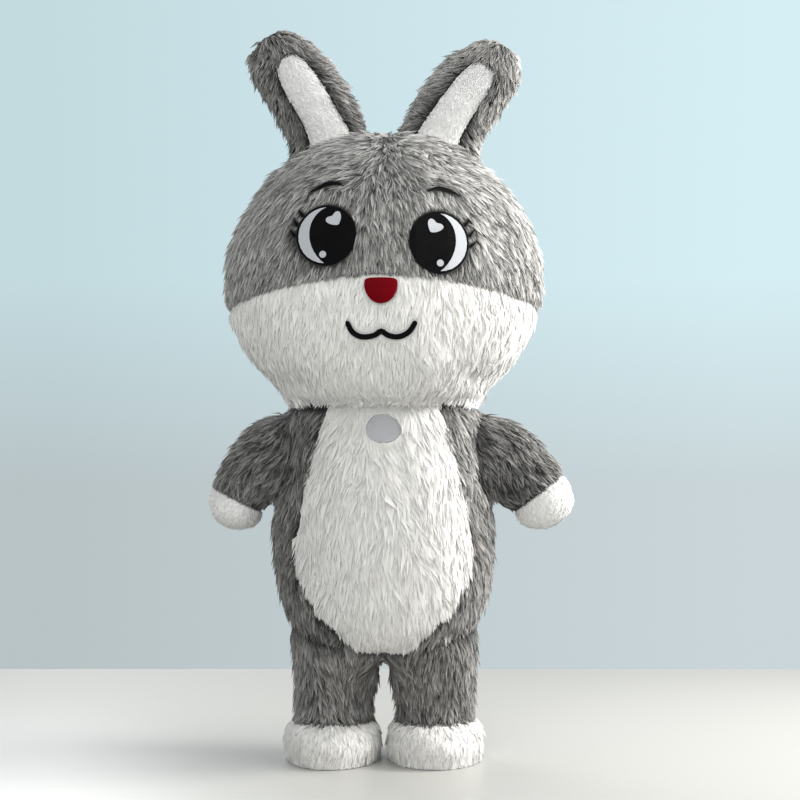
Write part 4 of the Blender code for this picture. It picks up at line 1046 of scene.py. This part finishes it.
# The darkest tones of the first two coats are partly painted shade between the hairs
COATS = (
    Coat(0.42, 0.62, 0.0025, 0.45, 0.20, 0.10, 0.50),
    Coat(0.34, 1.15, 0.0011, 1.00, 0.40, 0.10, 0.85),
    Coat(0.24, 1.10, 0.0014, 1.50, 0.12, 0.50, 1.45),
)
PART_SOFTNESS = 0.12
Ear = namedtuple("Ear", "base lean half_width")
EARS = {
    "left": Ear((0.196, 0.0, 2.485), math.radians(34.3), 0.12),
    "right": Ear((-0.196, 0.0, 2.485), math.radians(-30.2), 0.12),
}
# How far a panel's hairs may reach past its seam, over one other kind of panel
PAST_SEAM = {
    ("forehead", "face"): 0.007,
    ("crown", "forehead"): 0.034,
    ("sleeve", "mitt"): 0.004,
    ("leg", "foot"): 0.040,
    ("ear_front", "ear_inner"): 0.010,
    ("ear_inner", "ear_front"): 0.002,
    ("crown", "ear_inner"): 0.006,
    ("ear_inner", "crown"): 0.010,
    ("face", "belly"): 0.040,
    ("face", "side"): 0.014,
    ("head_back", "side"): 0.014,
    ("belly", "side"): 0.011,
    ("belly", "right_side"): 0.002,
    ("side", "sleeve"): 0.008,
    ("sleeve", "side"): 0.006,
    ("side", "leg"): 0.018,
    ("belly", "leg"): 0.010,
}
PAST_OTHERS = 0.035


def lie(name, points):
    """The direction in which the pile would lie if the panel were flat there."""
    kind = KIND_OF[PANEL_NAMES.index(name)]
    pile = PILES[kind]
    points = points - MIDDLE
    if kind.startswith("ear"):
        ear = EARS[name.split("_")[0]]
        axis = np.array([math.sin(ear.lean), 0.0, math.cos(ear.lean)])
        across = np.array([math.cos(ear.lean), 0.0, -math.sin(ear.lean)])
        off = (points - np.array(ear.base)) @ across / ear.half_width
        return -axis * pile.drop + across * (off * pile.spread)[:, None]
    x = points[:, 0]
    sideways = pile.spread * x + pile.part * np.tanh(x / PART_SOFTNESS)
    return np.stack([sideways, pile.forward * points[:, 1], np.full(len(x), -pile.drop)], axis=1)


print("kinds of pile", len(PILES), "coats", len(COATS))

# %% Where a hair starts, and how far it may run
skin.calc_loop_triangles()
triangle_corners = read_numbers(skin.loop_triangles, "vertices", 3, np.int32)
triangle_panel = skin_panel[read_numbers(skin.loop_triangles, "polygon_index", 1, np.int32)]
corner_co = skin_co[triangle_corners]
corner_normals = skin_normals[triangle_corners]
triangle_area = areas(corner_co)
surface = BVHTree.FromPolygons(skin_co.tolist(), [tuple(p.vertices) for p in skin.polygons])
BARE = 0.05
UNDER_FELT = 0.010
SEAM_ROOM = 0.032
HAIR_STEPS = (0.14, 0.22, 0.30, 0.40, 0.50, 0.60, 0.70, 0.80, 0.90, 1.00)
PAST_SEAM_SPREAD = (0.2, 1.8)
print("skin triangles", len(triangle_area), "area", round(float(triangle_area.sum()), 2))


def start_hairs(name, pile, rng):
    """Where a panel's hairs start, the normals there, the way they lie, and how much room they have."""
    mine = triangle_panel == PANEL_NAMES.index(name)
    count = int(triangle_area[mine].sum() * pile.density)
    root, normal = on_triangles(corner_co[mine], triangle_area[mine], count, rng, corner_normals[mine])
    normal = unit(normal)
    flow = lie(name, root)
    flow = unit(flow - normal * (flow * normal).sum(axis=1)[:, None])
    room = room_at(root + flow * UNDER_FELT)
    kept = room > BARE
    return root[kept], normal[kept], flow[kept], room[kept]


def above_skin(points, height):
    """The points moved to a height over the nearest place on the skin, with its normals and its panels."""
    lifted = np.empty_like(points)
    normals = np.empty_like(points)
    faces = np.empty(len(points), int)
    for row, point in enumerate(points):
        near, normal, face, _ = surface.find_nearest(point)
        lifted[row] = near + normal * height[row]
        normals[row] = normal
        faces[row] = face
    return lifted, normals, skin_panel[faces]


def deep_seam_room(points):
    """0 on a seam that pulls in deep, rising to 1 a little way off, to fade the painted shade on the hairs
    there.
    """
    return np.clip([deep_seams.find(point)[2] / SEAM_ROOM for point in points], 0.0, 1.0)


def clear_share(root, tip):
    """How much of each hair lies clear of the bare places. It may start a little way under a felt edge."""
    length = np.linalg.norm(tip - root, axis=1)
    share = np.zeros(len(root))
    open_so_far = np.ones(len(root), bool)
    for step in HAIR_STEPS:
        clear = room_at(root + (tip - root) * step) >= BARE
        open_so_far &= clear | (step * length <= UNDER_FELT)
        share[open_so_far] = step
    return share


def past_seam(index, tip, tip_panel, rng):
    """How far each tip lies past its panel's seam, beyond what it may."""
    kind = KIND_OF[index]
    too_far = np.zeros(len(tip))
    for row in np.flatnonzero(tip_panel != index):
        over = tip_panel[row]
        most = PAST_SEAM.get((kind, PANEL_NAMES[over]), PAST_SEAM.get((kind, KIND_OF[over]), PAST_OTHERS))
        allowed = most * rng.uniform(*PAST_SEAM_SPREAD)
        too_far[row] = max(0.0, own_seams[index].find(tip[row])[2] - allowed)
    return too_far


# %% [markdown]
# A hair is first laid flat along its panel's flow, turned a little with its lock and a little by itself. Its
# tip is drawn towards the tip of the lock's first hair, which makes the lock pointed, and then it is lifted
# over the skin. It is cut short before a bare place and a little past a seam, and left out where it would be
# too short, or where its tip landed on another limb. The darkest hairs stand in the deep seams, as painted
# shade.

# %% Locks and coats
HAIRS_A_LOCK = 10
Drift = namedtuple("Drift", "angle size")
DRIFTS = (Drift(0.30, 0.20), Drift(0.14, 0.07))
LOCK_TURN = 0.10
HAIR_TURN = 0.13
# What is left of a hair's paleness right on a deep seam: painted shade
PAINTED_SEAM_SHADE = 0.08
LOCK_SPREAD = 0.25


def choose_coats(count, rng):
    """The values of each hair's coat, as one array for each of a coat's values."""
    ends = np.cumsum([coat.share for coat in COATS])
    chosen = np.searchsorted(ends, rng.random(count) * ends[-1])
    return Coat(*(np.array(values)[chosen] for values in zip(*COATS)))


def gather_locks(root):
    """The number of locks, and each hair's lock. A lock starts at one of the first hairs."""
    locks = max(1, len(root) // HAIRS_A_LOCK)
    tree = tree_of(root[:locks])
    return locks, np.array([tree.find(point)[1] for point in root])


def turned(direction, normal, angle):
    """A direction along the surface, turned about the normal."""
    return direction * np.cos(angle)[:, None] + np.cross(normal, direction) * np.sin(angle)[:, None]


def drift_angles(pile, starts, lock, rng, seed):
    """The angle that each hair turns by: slow drifts over the panel, its lock's own turn and its own."""
    drift = sum(slow.angle * waves(starts, slow.size, seed + n) for n, slow in enumerate(DRIFTS, 1))
    drift = pile.wander * (drift + rng.normal(0.0, LOCK_TURN, len(starts)))
    return drift[lock] + rng.normal(0.0, HAIR_TURN, len(lock))


def hair_tones(name, pile, coat, locks, lock, seam_room, rng):
    """How pale each hair is: half its lock's doing and half its own, and darkened with painted shade on a
    deep seam.
    """
    # The panel's own tone together with its painted light and shade
    shade = pile.shade / PLUSHES[PANELS[name].slot].spread
    low, high = coat.tone_low + shade, coat.tone_high + shade
    of_lock = np.clip(0.5 + LOCK_SPREAD * rng.normal(0.0, 1.0, locks), 0.0, 1.0)
    mix = of_lock[lock] * 0.5 + 0.5 * rng.random(len(lock))
    return (low + (high - low) * mix) * (PAINTED_SEAM_SHADE + (1.0 - PAINTED_SEAM_SHADE) * seam_room)


# %% Growing a panel's hairs
LOCK_LENGTHS = (0.80, 1.15)
HAIR_LENGTHS = (0.85, 1.10)
# What is left of a hair's length and height beside a bare place
TRIMMED_LENGTH = 0.75
TRIMMED_LIFT = 0.35
STRAYS = 0.12
SIDE_BEND = 0.08
MIDDLE_SHARE = 0.40
MIDDLE_LIFT = (0.10, 0.30)
# The height of a tip: the least, what chance adds to all, and what it adds to a few that stand proud
LOW_TIP = 0.20
MORE_TIP = 0.65
PROUD_TIP = 1.5
PROUD_RARE = 5
LEAST_SHARE = 0.14
WIDTHS = (0.75, 1.25)
SHORT_PILE = 0.030
SHORT_PILE_WIDTH = 0.8
ROUND_LOOK = {"white_pile": 0.24, "short_white_pile": 0.24}
ROUND_LOOK_GREY = 0.40
ROOT_SUNK = 0.0012
FLOOR_ROOM = 0.006
FARTHEST_JUMP = 0.035
FARTHEST_FROM_SKIN = 0.014


def jumps(index, root, tip, aimed, tip_panel):
    """Which hairs ended on another limb: the tip moved far, or the hair's middle hangs off the skin."""
    jumped = np.linalg.norm(tip - aimed, axis=1) > FARTHEST_JUMP
    for row in np.flatnonzero(tip_panel != index):
        jumped[row] |= surface.find_nearest((root[row] + tip[row]) / 2)[3] > FARTHEST_FROM_SKIN
    return jumped


def grow(name, seed):
    """The four points of each hair, the normals there, and how pale each hair is."""
    index = PANEL_NAMES.index(name)
    pile = PILES.get(name, PILES[KIND_OF[index]])
    rng = np.random.default_rng(seed)
    root, normal, flow, room = start_hairs(name, pile, rng)
    count = len(root)
    coat = choose_coats(count, rng)
    locks, lock = gather_locks(root)
    flow = turned(flow, normal, drift_angles(pile, root[:locks], lock, rng, seed))

    lock_length = rng.uniform(*LOCK_LENGTHS, locks)
    length = pile.length * coat.length * lock_length[lock] * rng.uniform(*HAIR_LENGTHS, count)
    tip = root + flow * (length * (TRIMMED_LENGTH + (1.0 - TRIMMED_LENGTH) * room))[:, None]
    gather = np.where(rng.random(count) < STRAYS, 0.0, coat.gather)
    tip += (tip[:locks][lock] - tip) * gather[:, None]
    bend = rng.normal(0.0, SIDE_BEND, count) * length
    middle = root + (tip - root) * MIDDLE_SHARE + np.cross(normal, flow) * bend[:, None]
    lift = pile.lift * coat.lift * (TRIMMED_LIFT + (1.0 - TRIMMED_LIFT) * room)
    chance, rare = rng.random(count), rng.random(count) ** PROUD_RARE
    tip_height = lift * (LOW_TIP + MORE_TIP * chance + PROUD_TIP * rare)
    middle_height = lift * rng.uniform(*MIDDLE_LIFT, count) + 0.5 * tip_height
    middle, middle_normal, _ = above_skin(middle, middle_height)
    aimed = tip
    tip, tip_normal, tip_panel = above_skin(tip, tip_height)

    share = 1.0 - past_seam(index, tip, tip_panel, rng) / length
    share = np.minimum(share, clear_share(root, tip))
    good = (share >= LEAST_SHARE) & ~jumps(index, root, tip, aimed, tip_panel) & (root[:, 2] > FLOOR_ROOM)
    tip = root + (tip - root) * share[:, None]
    middle = root + (middle - root) * share[:, None]
    tone = hair_tones(name, pile, coat, locks, lock, deep_seam_room(root), rng)
    half_width = coat.half_width * rng.uniform(*WIDTHS, count)
    half_width *= SHORT_PILE_WIDTH if pile.length < SHORT_PILE else 1.0

    tip[:, 2] = np.maximum(tip[:, 2], FLOOR_ROOM / 4)
    middle[:, 2] = np.maximum(middle[:, 2], FLOOR_ROOM / 2)
    root = root - normal * ROOT_SUNK
    across = unit(np.cross(tip - root, middle_normal))
    side_step = across * half_width[:, None]
    points = np.stack([root, middle - side_step, middle + side_step, tip], axis=1)
    turn_out = across * ROUND_LOOK.get(PANELS[name].slot, ROUND_LOOK_GREY)
    facing = np.stack([normal, middle_normal - turn_out, middle_normal + turn_out, tip_normal], axis=1)
    return points[good], unit(facing[good]), tone[good]


# %% The mesh of a panel's hairs
LEAST_LEAN = 0.30
HAIR_FACES = np.array([(0, 2, 1), (1, 2, 3), (0, 1, 3), (2, 0, 3)])
ALONG = (0.0, 0.5, 0.5, 1.0)


def outwards(points, facing):
    """Swaps the middle points of the hairs whose middle hangs under the line from root to tip."""
    span = points[:, 1:] - points[:, :1]
    volume = (np.cross(span[:, 0], span[:, 1]) * span[:, 2]).sum(axis=1)
    wrong = volume < 0.0
    points[wrong, 1:3] = points[wrong, 2:0:-1]
    facing[wrong, 1:3] = facing[wrong, 2:0:-1]
    return int(wrong.sum())


def hair_normals(points, facing):
    """A normal for each corner: the hair's own soft one, leaned over until it looks out of its face."""
    corners = points[:, HAIR_FACES]
    wanted = facing[:, HAIR_FACES]
    edges = corners[:, :, 1:] - corners[:, :, :1]
    face = unit(np.cross(edges[:, :, 0], edges[:, :, 1]))[:, :, None]
    short = np.maximum(LEAST_LEAN - (wanted * face).sum(axis=-1, keepdims=True), 0.0)
    return unit(wanted + face * short).reshape(-1, 3)


def pile_mesh(name, points, facing, tone):
    """One mesh of all hairs, with how far along a hair each point is and how pale the hair is."""
    count = len(points)
    faces = (HAIR_FACES[None] + 4 * np.arange(count)[:, None, None]).reshape(-1)
    mesh = bpy.data.meshes.new(name)
    mesh.vertices.add(4 * count)
    mesh.vertices.foreach_set("co", points.ravel())
    mesh.loops.add(len(faces))
    mesh.loops.foreach_set("vertex_index", faces.astype(np.int32))
    mesh.polygons.add(count * len(HAIR_FACES))
    mesh.polygons.foreach_set("loop_start", np.arange(0, len(faces), 3, dtype=np.int32))
    mesh.update(calc_edges=True)
    mesh.normals_split_custom_set(hair_normals(points, facing))
    mesh.attributes.new("along", "FLOAT", "POINT").data.foreach_set("value", np.tile(ALONG, count))
    mesh.attributes.new("tone", "FLOAT", "POINT").data.foreach_set("value", np.repeat(tone, 4))
    return mesh


# %% Grow the pile of every panel
FIRST_SEED = 100
SEEDS_A_PANEL = 10
piles = {}
hair_count = 0
swapped = 0
for number, name in enumerate(PANEL_NAMES):
    points, facing, tone = grow(name, FIRST_SEED + SEEDS_A_PANEL * number)
    swapped += outwards(points, facing)
    mesh = pile_mesh(f"{name}_pile", points, facing, tone)
    mesh.materials.append(finishes[PANELS[name].slot])
    piles[name] = bpy.data.objects.new(f"{name}_pile", mesh)
    scene.collection.objects.link(piles[name])
    hair_count += len(points)
print("hairs", hair_count, "triangles", hair_count * len(HAIR_FACES), "turned the right way", swapped)

# %% [markdown]
# ## Felt, satin, window, zip and soles
#
# The cut pieces of the face are felt. Each is a copy of its solid with merged corners, and its cut edges
# are rounded off, because felt has no crisp edge. Their faces stay flat, so that only the rim is soft. The
# window's sheet, the zip's tapes and the soles are made in the same way.

# %% Felt pieces, tapes and soles
SHARP_RIM = math.radians(40.0)
FLAT = math.radians(1.0)
FELT_RIM = 0.0010
THIN_FELT_RIM = 0.0007
trims = {}
slot_of = {part["node"]: part["material_slot"] for part in frame["record"]["subparts"]}
RIMS = {"mouth": 0.0016}
for side in ("left", "right"):
    RIMS[f"{side}_eye"] = FELT_RIM
    for piece in ("eye_white", "eye_heart", "eye_spot"):
        RIMS[f"{side}_{piece}"] = THIN_FELT_RIM
    RIMS[f"{side}_brow"] = 0.0008
    RIMS[f"{side}_zip_tape"] = 0.0003
    RIMS[f"{side}_sole"] = 0.0012
    for number in (1, 2, 3):
        RIMS[f"{side}_lash_{number}"] = 0.0006


def keep_piece(name, bm, slot):
    """Makes a finished piece of a bmesh, with its finish."""
    mesh = bpy.data.meshes.new(name)
    bm.to_mesh(mesh)
    bm.free()
    mesh.materials.append(finishes[slot])
    piece = bpy.data.objects.new(name, mesh)
    scene.collection.objects.link(piece)
    return piece


def softened(node, width):
    """A copy of a solid with its sharp edges rounded off."""
    bm = bmesh.new()
    bm.from_mesh(nodes[node].data)
    bmesh.ops.remove_doubles(bm, verts=bm.verts, dist=MERGED)
    bmesh.ops.dissolve_limit(bm, angle_limit=FLAT, verts=bm.verts, edges=bm.edges)
    sharp = [edge for edge in bm.edges if len(edge.link_faces) == 2 and edge.calc_face_angle() > SHARP_RIM]
    made = bmesh.ops.bevel(
        bm,
        geom=sharp,
        offset=width,
        offset_type="OFFSET",
        affect="EDGES",
        segments=2,
        profile=0.5,
        material=-1,
    )
    for face in bm.faces:
        face.smooth = False
    for face in made["faces"]:
        face.smooth = True
    return keep_piece(f"{node}_cut", bm, slot_of[node])


for node, width in RIMS.items():
    trims[node] = softened(node, width)
print("softened pieces", len(trims), "faces", sum(len(p.data.polygons) for p in trims.values()))

# %% [markdown]
# The nose is a little satin pad. Its rim is the outline of its solid, and rings of points climb from the
# rim to a crown in the middle, as stuffing pushes the satin out.

# %% Satin nose
NOSE_RINGS = 9
NOSE_BULGE = 0.007
NOSE_BACK = 0.0015
# Rays that look for the solid's face stay this far inside its rim
INSIDE_RIM = 0.97
RAY_START = 2.0


def ray_surface(node):
    mesh = nodes[node].data
    return BVHTree.FromPolygons([v.co[:] for v in mesh.vertices], [tuple(p.vertices) for p in mesh.polygons])


def seen_from(surface, x, z, front):
    """How far back the surface lies in the front view, or from behind, or None where there is none."""
    way = 1.0 if front else -1.0
    hit = surface.ray_cast((x, -way * RAY_START, z), (0.0, way, 0.0))[0]
    return None if hit is None else hit[1]


def hull_ring(points):
    """The outline of points in the front view, counter-clockwise from its left end."""
    order = sorted({(round(float(x), 5), round(float(z), 5)) for x, z in points})
    rows = []
    for way in (order, order[::-1]):
        row = []
        for p in way:
            while len(row) > 1 and np.cross(np.subtract(row[-1], row[-2]), np.subtract(p, row[-1])) <= 0.0:
                row.pop()
            row.append(p)
        rows += row[:-1]
    return np.array(rows)


def padded_nose(node):
    outline = hull_ring(read_numbers(nodes[node].data.vertices, "co", 3)[:, [0, 2]])
    centre = (outline.min(axis=0) + outline.max(axis=0)) / 2
    solid = ray_surface(node)
    bm = bmesh.new()
    rings = []
    for step in range(NOSE_RINGS):
        share = math.cos(math.pi / 2 * step / NOSE_RINGS)
        ring = []
        for spot in outline:
            x, z = centre + (spot - centre) * share
            face_y = seen_from(solid, *(centre + (spot - centre) * min(share, INSIDE_RIM)), front=True)
            ring.append(bm.verts.new((x, face_y - NOSE_BULGE * math.sqrt(1.0 - share**2), z)))
        rings.append(ring)
    face_y = seen_from(solid, *centre, front=True)
    crown = bm.verts.new((centre[0], face_y - NOSE_BULGE, centre[1]))
    back_ring = [bm.verts.new(vert.co + Vector((0.0, NOSE_BACK, 0.0))) for vert in rings[0]]
    back = bm.verts.new((centre[0], face_y + NOSE_BACK, centre[1]))
    count = len(outline)
    for i in range(count):
        j = (i + 1) % count
        for low, high in zip(rings, rings[1:]):
            bm.faces.new((low[i], low[j], high[j], high[i]))
        bm.faces.new((rings[-1][i], rings[-1][j], crown))
        bm.faces.new((back_ring[j], back_ring[i], back))
        bm.faces.new((back_ring[i], back_ring[j], rings[0][j], rings[0][i]))
    for face in bm.faces:
        face.smooth = True
    bmesh.ops.recalc_face_normals(bm, faces=bm.faces)
    return keep_piece("nose_pad", bm, slot_of[node])


trims["nose"] = padded_nose("nose")
print("nose faces", len(trims["nose"].data.polygons))

# %% [markdown]
# The window is a coarse net, so that the wearer can see out through it. A sheet stands behind crossed
# threads, which run over each other in turn. The zip has two rows of teeth, whose heads meet in the middle
# below the slider, and a row of stitches along the outer edge of each tape. All of these are many small
# equal things, so each kind is one joined mesh.

# %% Threads of the window
WINDOW_RIM = 0.0006
THREAD_PITCH = 0.0042
THREAD_HALF = 0.0006
THREAD_STEP = 0.0021
THREAD_START = 0.001
FEWEST_POINTS = 4
OVER_UNDER = 0.0004


def thread(points):
    """The points and faces of a square thread along points in the front view."""
    points = np.array(points)
    run = unit(np.gradient(points, axis=0))
    side = unit(np.cross(run, (0.0, 1.0, 0.0)))
    up = np.cross(side, run)
    corners = [points + (side * a + up * b) * THREAD_HALF for a, b in ((-1, -1), (1, -1), (1, 1), (-1, 1))]
    co = np.stack(corners, axis=1).reshape(-1, 3)
    faces = []
    for row in range(len(points) - 1):
        for k in range(4):
            a, b = 4 * row + k, 4 * row + (k + 1) % 4
            faces.append((a, b, b + 4, a + 4))
    last = 4 * (len(points) - 1)
    faces.append((3, 2, 1, 0))
    faces.append((last, last + 1, last + 2, last + 3))
    return co, faces


def join_pieces(name, pieces, slot):
    """One mesh of many small closed pieces, each given as points and faces."""
    bm = bmesh.new()
    for co, faces in pieces:
        made = [bm.verts.new(p) for p in co]
        for face in faces:
            bm.faces.new([made[i] for i in face])
    bmesh.ops.recalc_face_normals(bm, faces=bm.faces)
    return keep_piece(name, bm, slot)


def window_threads(node):
    """Threads across and up the window, on the front of its sheet."""
    co = read_numbers(nodes[node].data.vertices, "co", 3)
    solid = ray_surface(node)
    low = co.min(axis=0)
    high = co.max(axis=0)
    pieces = []
    for along, across in ((0, 2), (2, 0)):
        rows = np.arange(low[across] + THREAD_PITCH / 2, high[across], THREAD_PITCH)
        for number, fixed in enumerate(rows):
            points = []
            for step, run in enumerate(np.arange(low[along] + THREAD_START, high[along], THREAD_STEP)):
                spot = {along: run, across: fixed}
                y = seen_from(solid, spot[0], spot[2], front=True)
                if y is not None:
                    over = OVER_UNDER * math.cos(math.pi * (step / 2 + number + (along == 2)))
                    points.append((spot[0], y - THREAD_HALF + over, spot[2]))
            if len(points) >= FEWEST_POINTS:
                pieces.append(thread(points))
    return join_pieces("window_threads", pieces, slot_of[node])


trims["window"] = softened("window", WINDOW_RIM)
net = window_threads("window")
print("window threads faces", len(net.data.polygons))

# %% Teeth and stitches of the zip
TOOTH = (0.0034, 0.0022, 0.0019)
TOOTH_ROUNDING = 0.0005
TOOTH_PITCH = 0.0046
TOOTH_LEAN = 0.0011
# A tooth stands on its tape where the tape is sure to be, this far from the zip's middle line
TAPE_MIDDLE = 0.004
STITCH = (0.0007, 0.0006, 0.0036)
STITCH_ROUNDING = 0.00015
STITCH_PITCH = 0.0052
STITCH_AWAY = 0.0115
ZIP_ENDS = (0.624, 1.372)
UNSTITCHED = 0.004
CLOSED_TO = 1.296
OPEN_LEAN = 0.0016


def small_block(size, rounding):
    """Points and faces of a small block with rounded edges, centred on the origin."""
    bm = bmesh.new()
    bmesh.ops.create_cube(bm, size=1.0)
    for vert in bm.verts:
        vert.co = Vector([v * s for v, s in zip(vert.co, size)])
    bmesh.ops.bevel(bm, geom=bm.edges, offset=rounding, affect="EDGES", segments=1, profile=0.5, material=-1)
    bm.verts.index_update()
    block = np.array([vert.co[:] for vert in bm.verts]), [[v.index for v in face.verts] for face in bm.faces]
    bm.free()
    return block


def zip_row(side, way):
    """The teeth and the stitches of one tape. Above the slider the teeth stand apart."""
    solid = ray_surface(f"{side}_zip_tape")
    teeth = []
    stitches = []
    first, last = ZIP_ENDS
    shift = 0.0 if side == "left" else TOOTH_PITCH / 2
    for z in np.arange(first + shift, last, TOOTH_PITCH):
        away = TOOTH_LEAN if z < CLOSED_TO else TOOTH_LEAN + OPEN_LEAN
        y = seen_from(solid, MIDDLE[0] + way * TAPE_MIDDLE, z, front=False)
        if y is not None:
            teeth.append((tooth + (MIDDLE[0] + way * away, y + TOOTH[1] / 2, z), tooth_faces))
    for z in np.arange(first + UNSTITCHED, last - UNSTITCHED, STITCH_PITCH):
        y = seen_from(solid, MIDDLE[0] + way * STITCH_AWAY, z, front=False)
        if y is not None:
            stitches.append((stitch + (MIDDLE[0] + way * STITCH_AWAY, y + STITCH[1] / 4, z), stitch_faces))
    print(side, "teeth", len(teeth), "stitches", len(stitches))
    return [
        join_pieces(f"{side}_zip_teeth", teeth, "zip_teeth"),
        join_pieces(f"{side}_zip_stitches", stitches, "thread"),
    ]


tooth, tooth_faces = small_block(TOOTH, TOOTH_ROUNDING)
stitch, stitch_faces = small_block(STITCH, STITCH_ROUNDING)
zip_rows = {side: zip_row(side, way) for side, way in (("left", 1.0), ("right", -1.0))}

# %% [markdown]
# ## The solids that stay
#
# The slider, its pull and the blower are hard, so they keep the solids' own shapes. The other solids get
# their finish too, and are then replaced by what was made above. What is sewn on a panel is listed with it,
# and every piece moves with the whole suit.

# %% Finish the carried-over solids
for name, node in nodes.items():
    node.data.materials.clear()
    node.data.materials.append(finishes[slot_of[name]])
print("solids finished", len(nodes))

# %% Hand the pieces to the frame
Cut = namedtuple("Cut", "flat area")
ON_PANEL = {"face": ["nose", "mouth"], "forehead": []}
for side in ("left", "right"):
    for piece in ("eye", "eye_white", "eye_heart", "eye_spot", "lash_1", "lash_2", "lash_3", "brow"):
        ON_PANEL["forehead"].append(f"{side}_{piece}")


def hand_over(piece, node=None):
    """The piece moves with the suit, and may stand for a solid, which is then hidden."""
    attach(piece, "suit")
    if node:
        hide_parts(node)


for name, panel in PANELS.items():
    hand_over(cloths[name], name)
    hand_over(piles[name])
for node, piece in trims.items():
    hand_over(piece, node)
hand_over(net)
for side, rows in zip_rows.items():
    teeth, stitches = rows
    hand_over(teeth)
    hand_over(stitches)
print("pieces", 2 * len(PANELS) + len(trims) + 1 + sum(len(rows) for rows in zip_rows.values()))

# %% Size and finish
low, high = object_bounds()
proud_below = [round(a - b, 3) for a, b in zip(cad_low, low)]
proud_above = [round(b - a, 3) for a, b in zip(cad_high, high)]
print("proud of the solids", proud_below, proud_above)
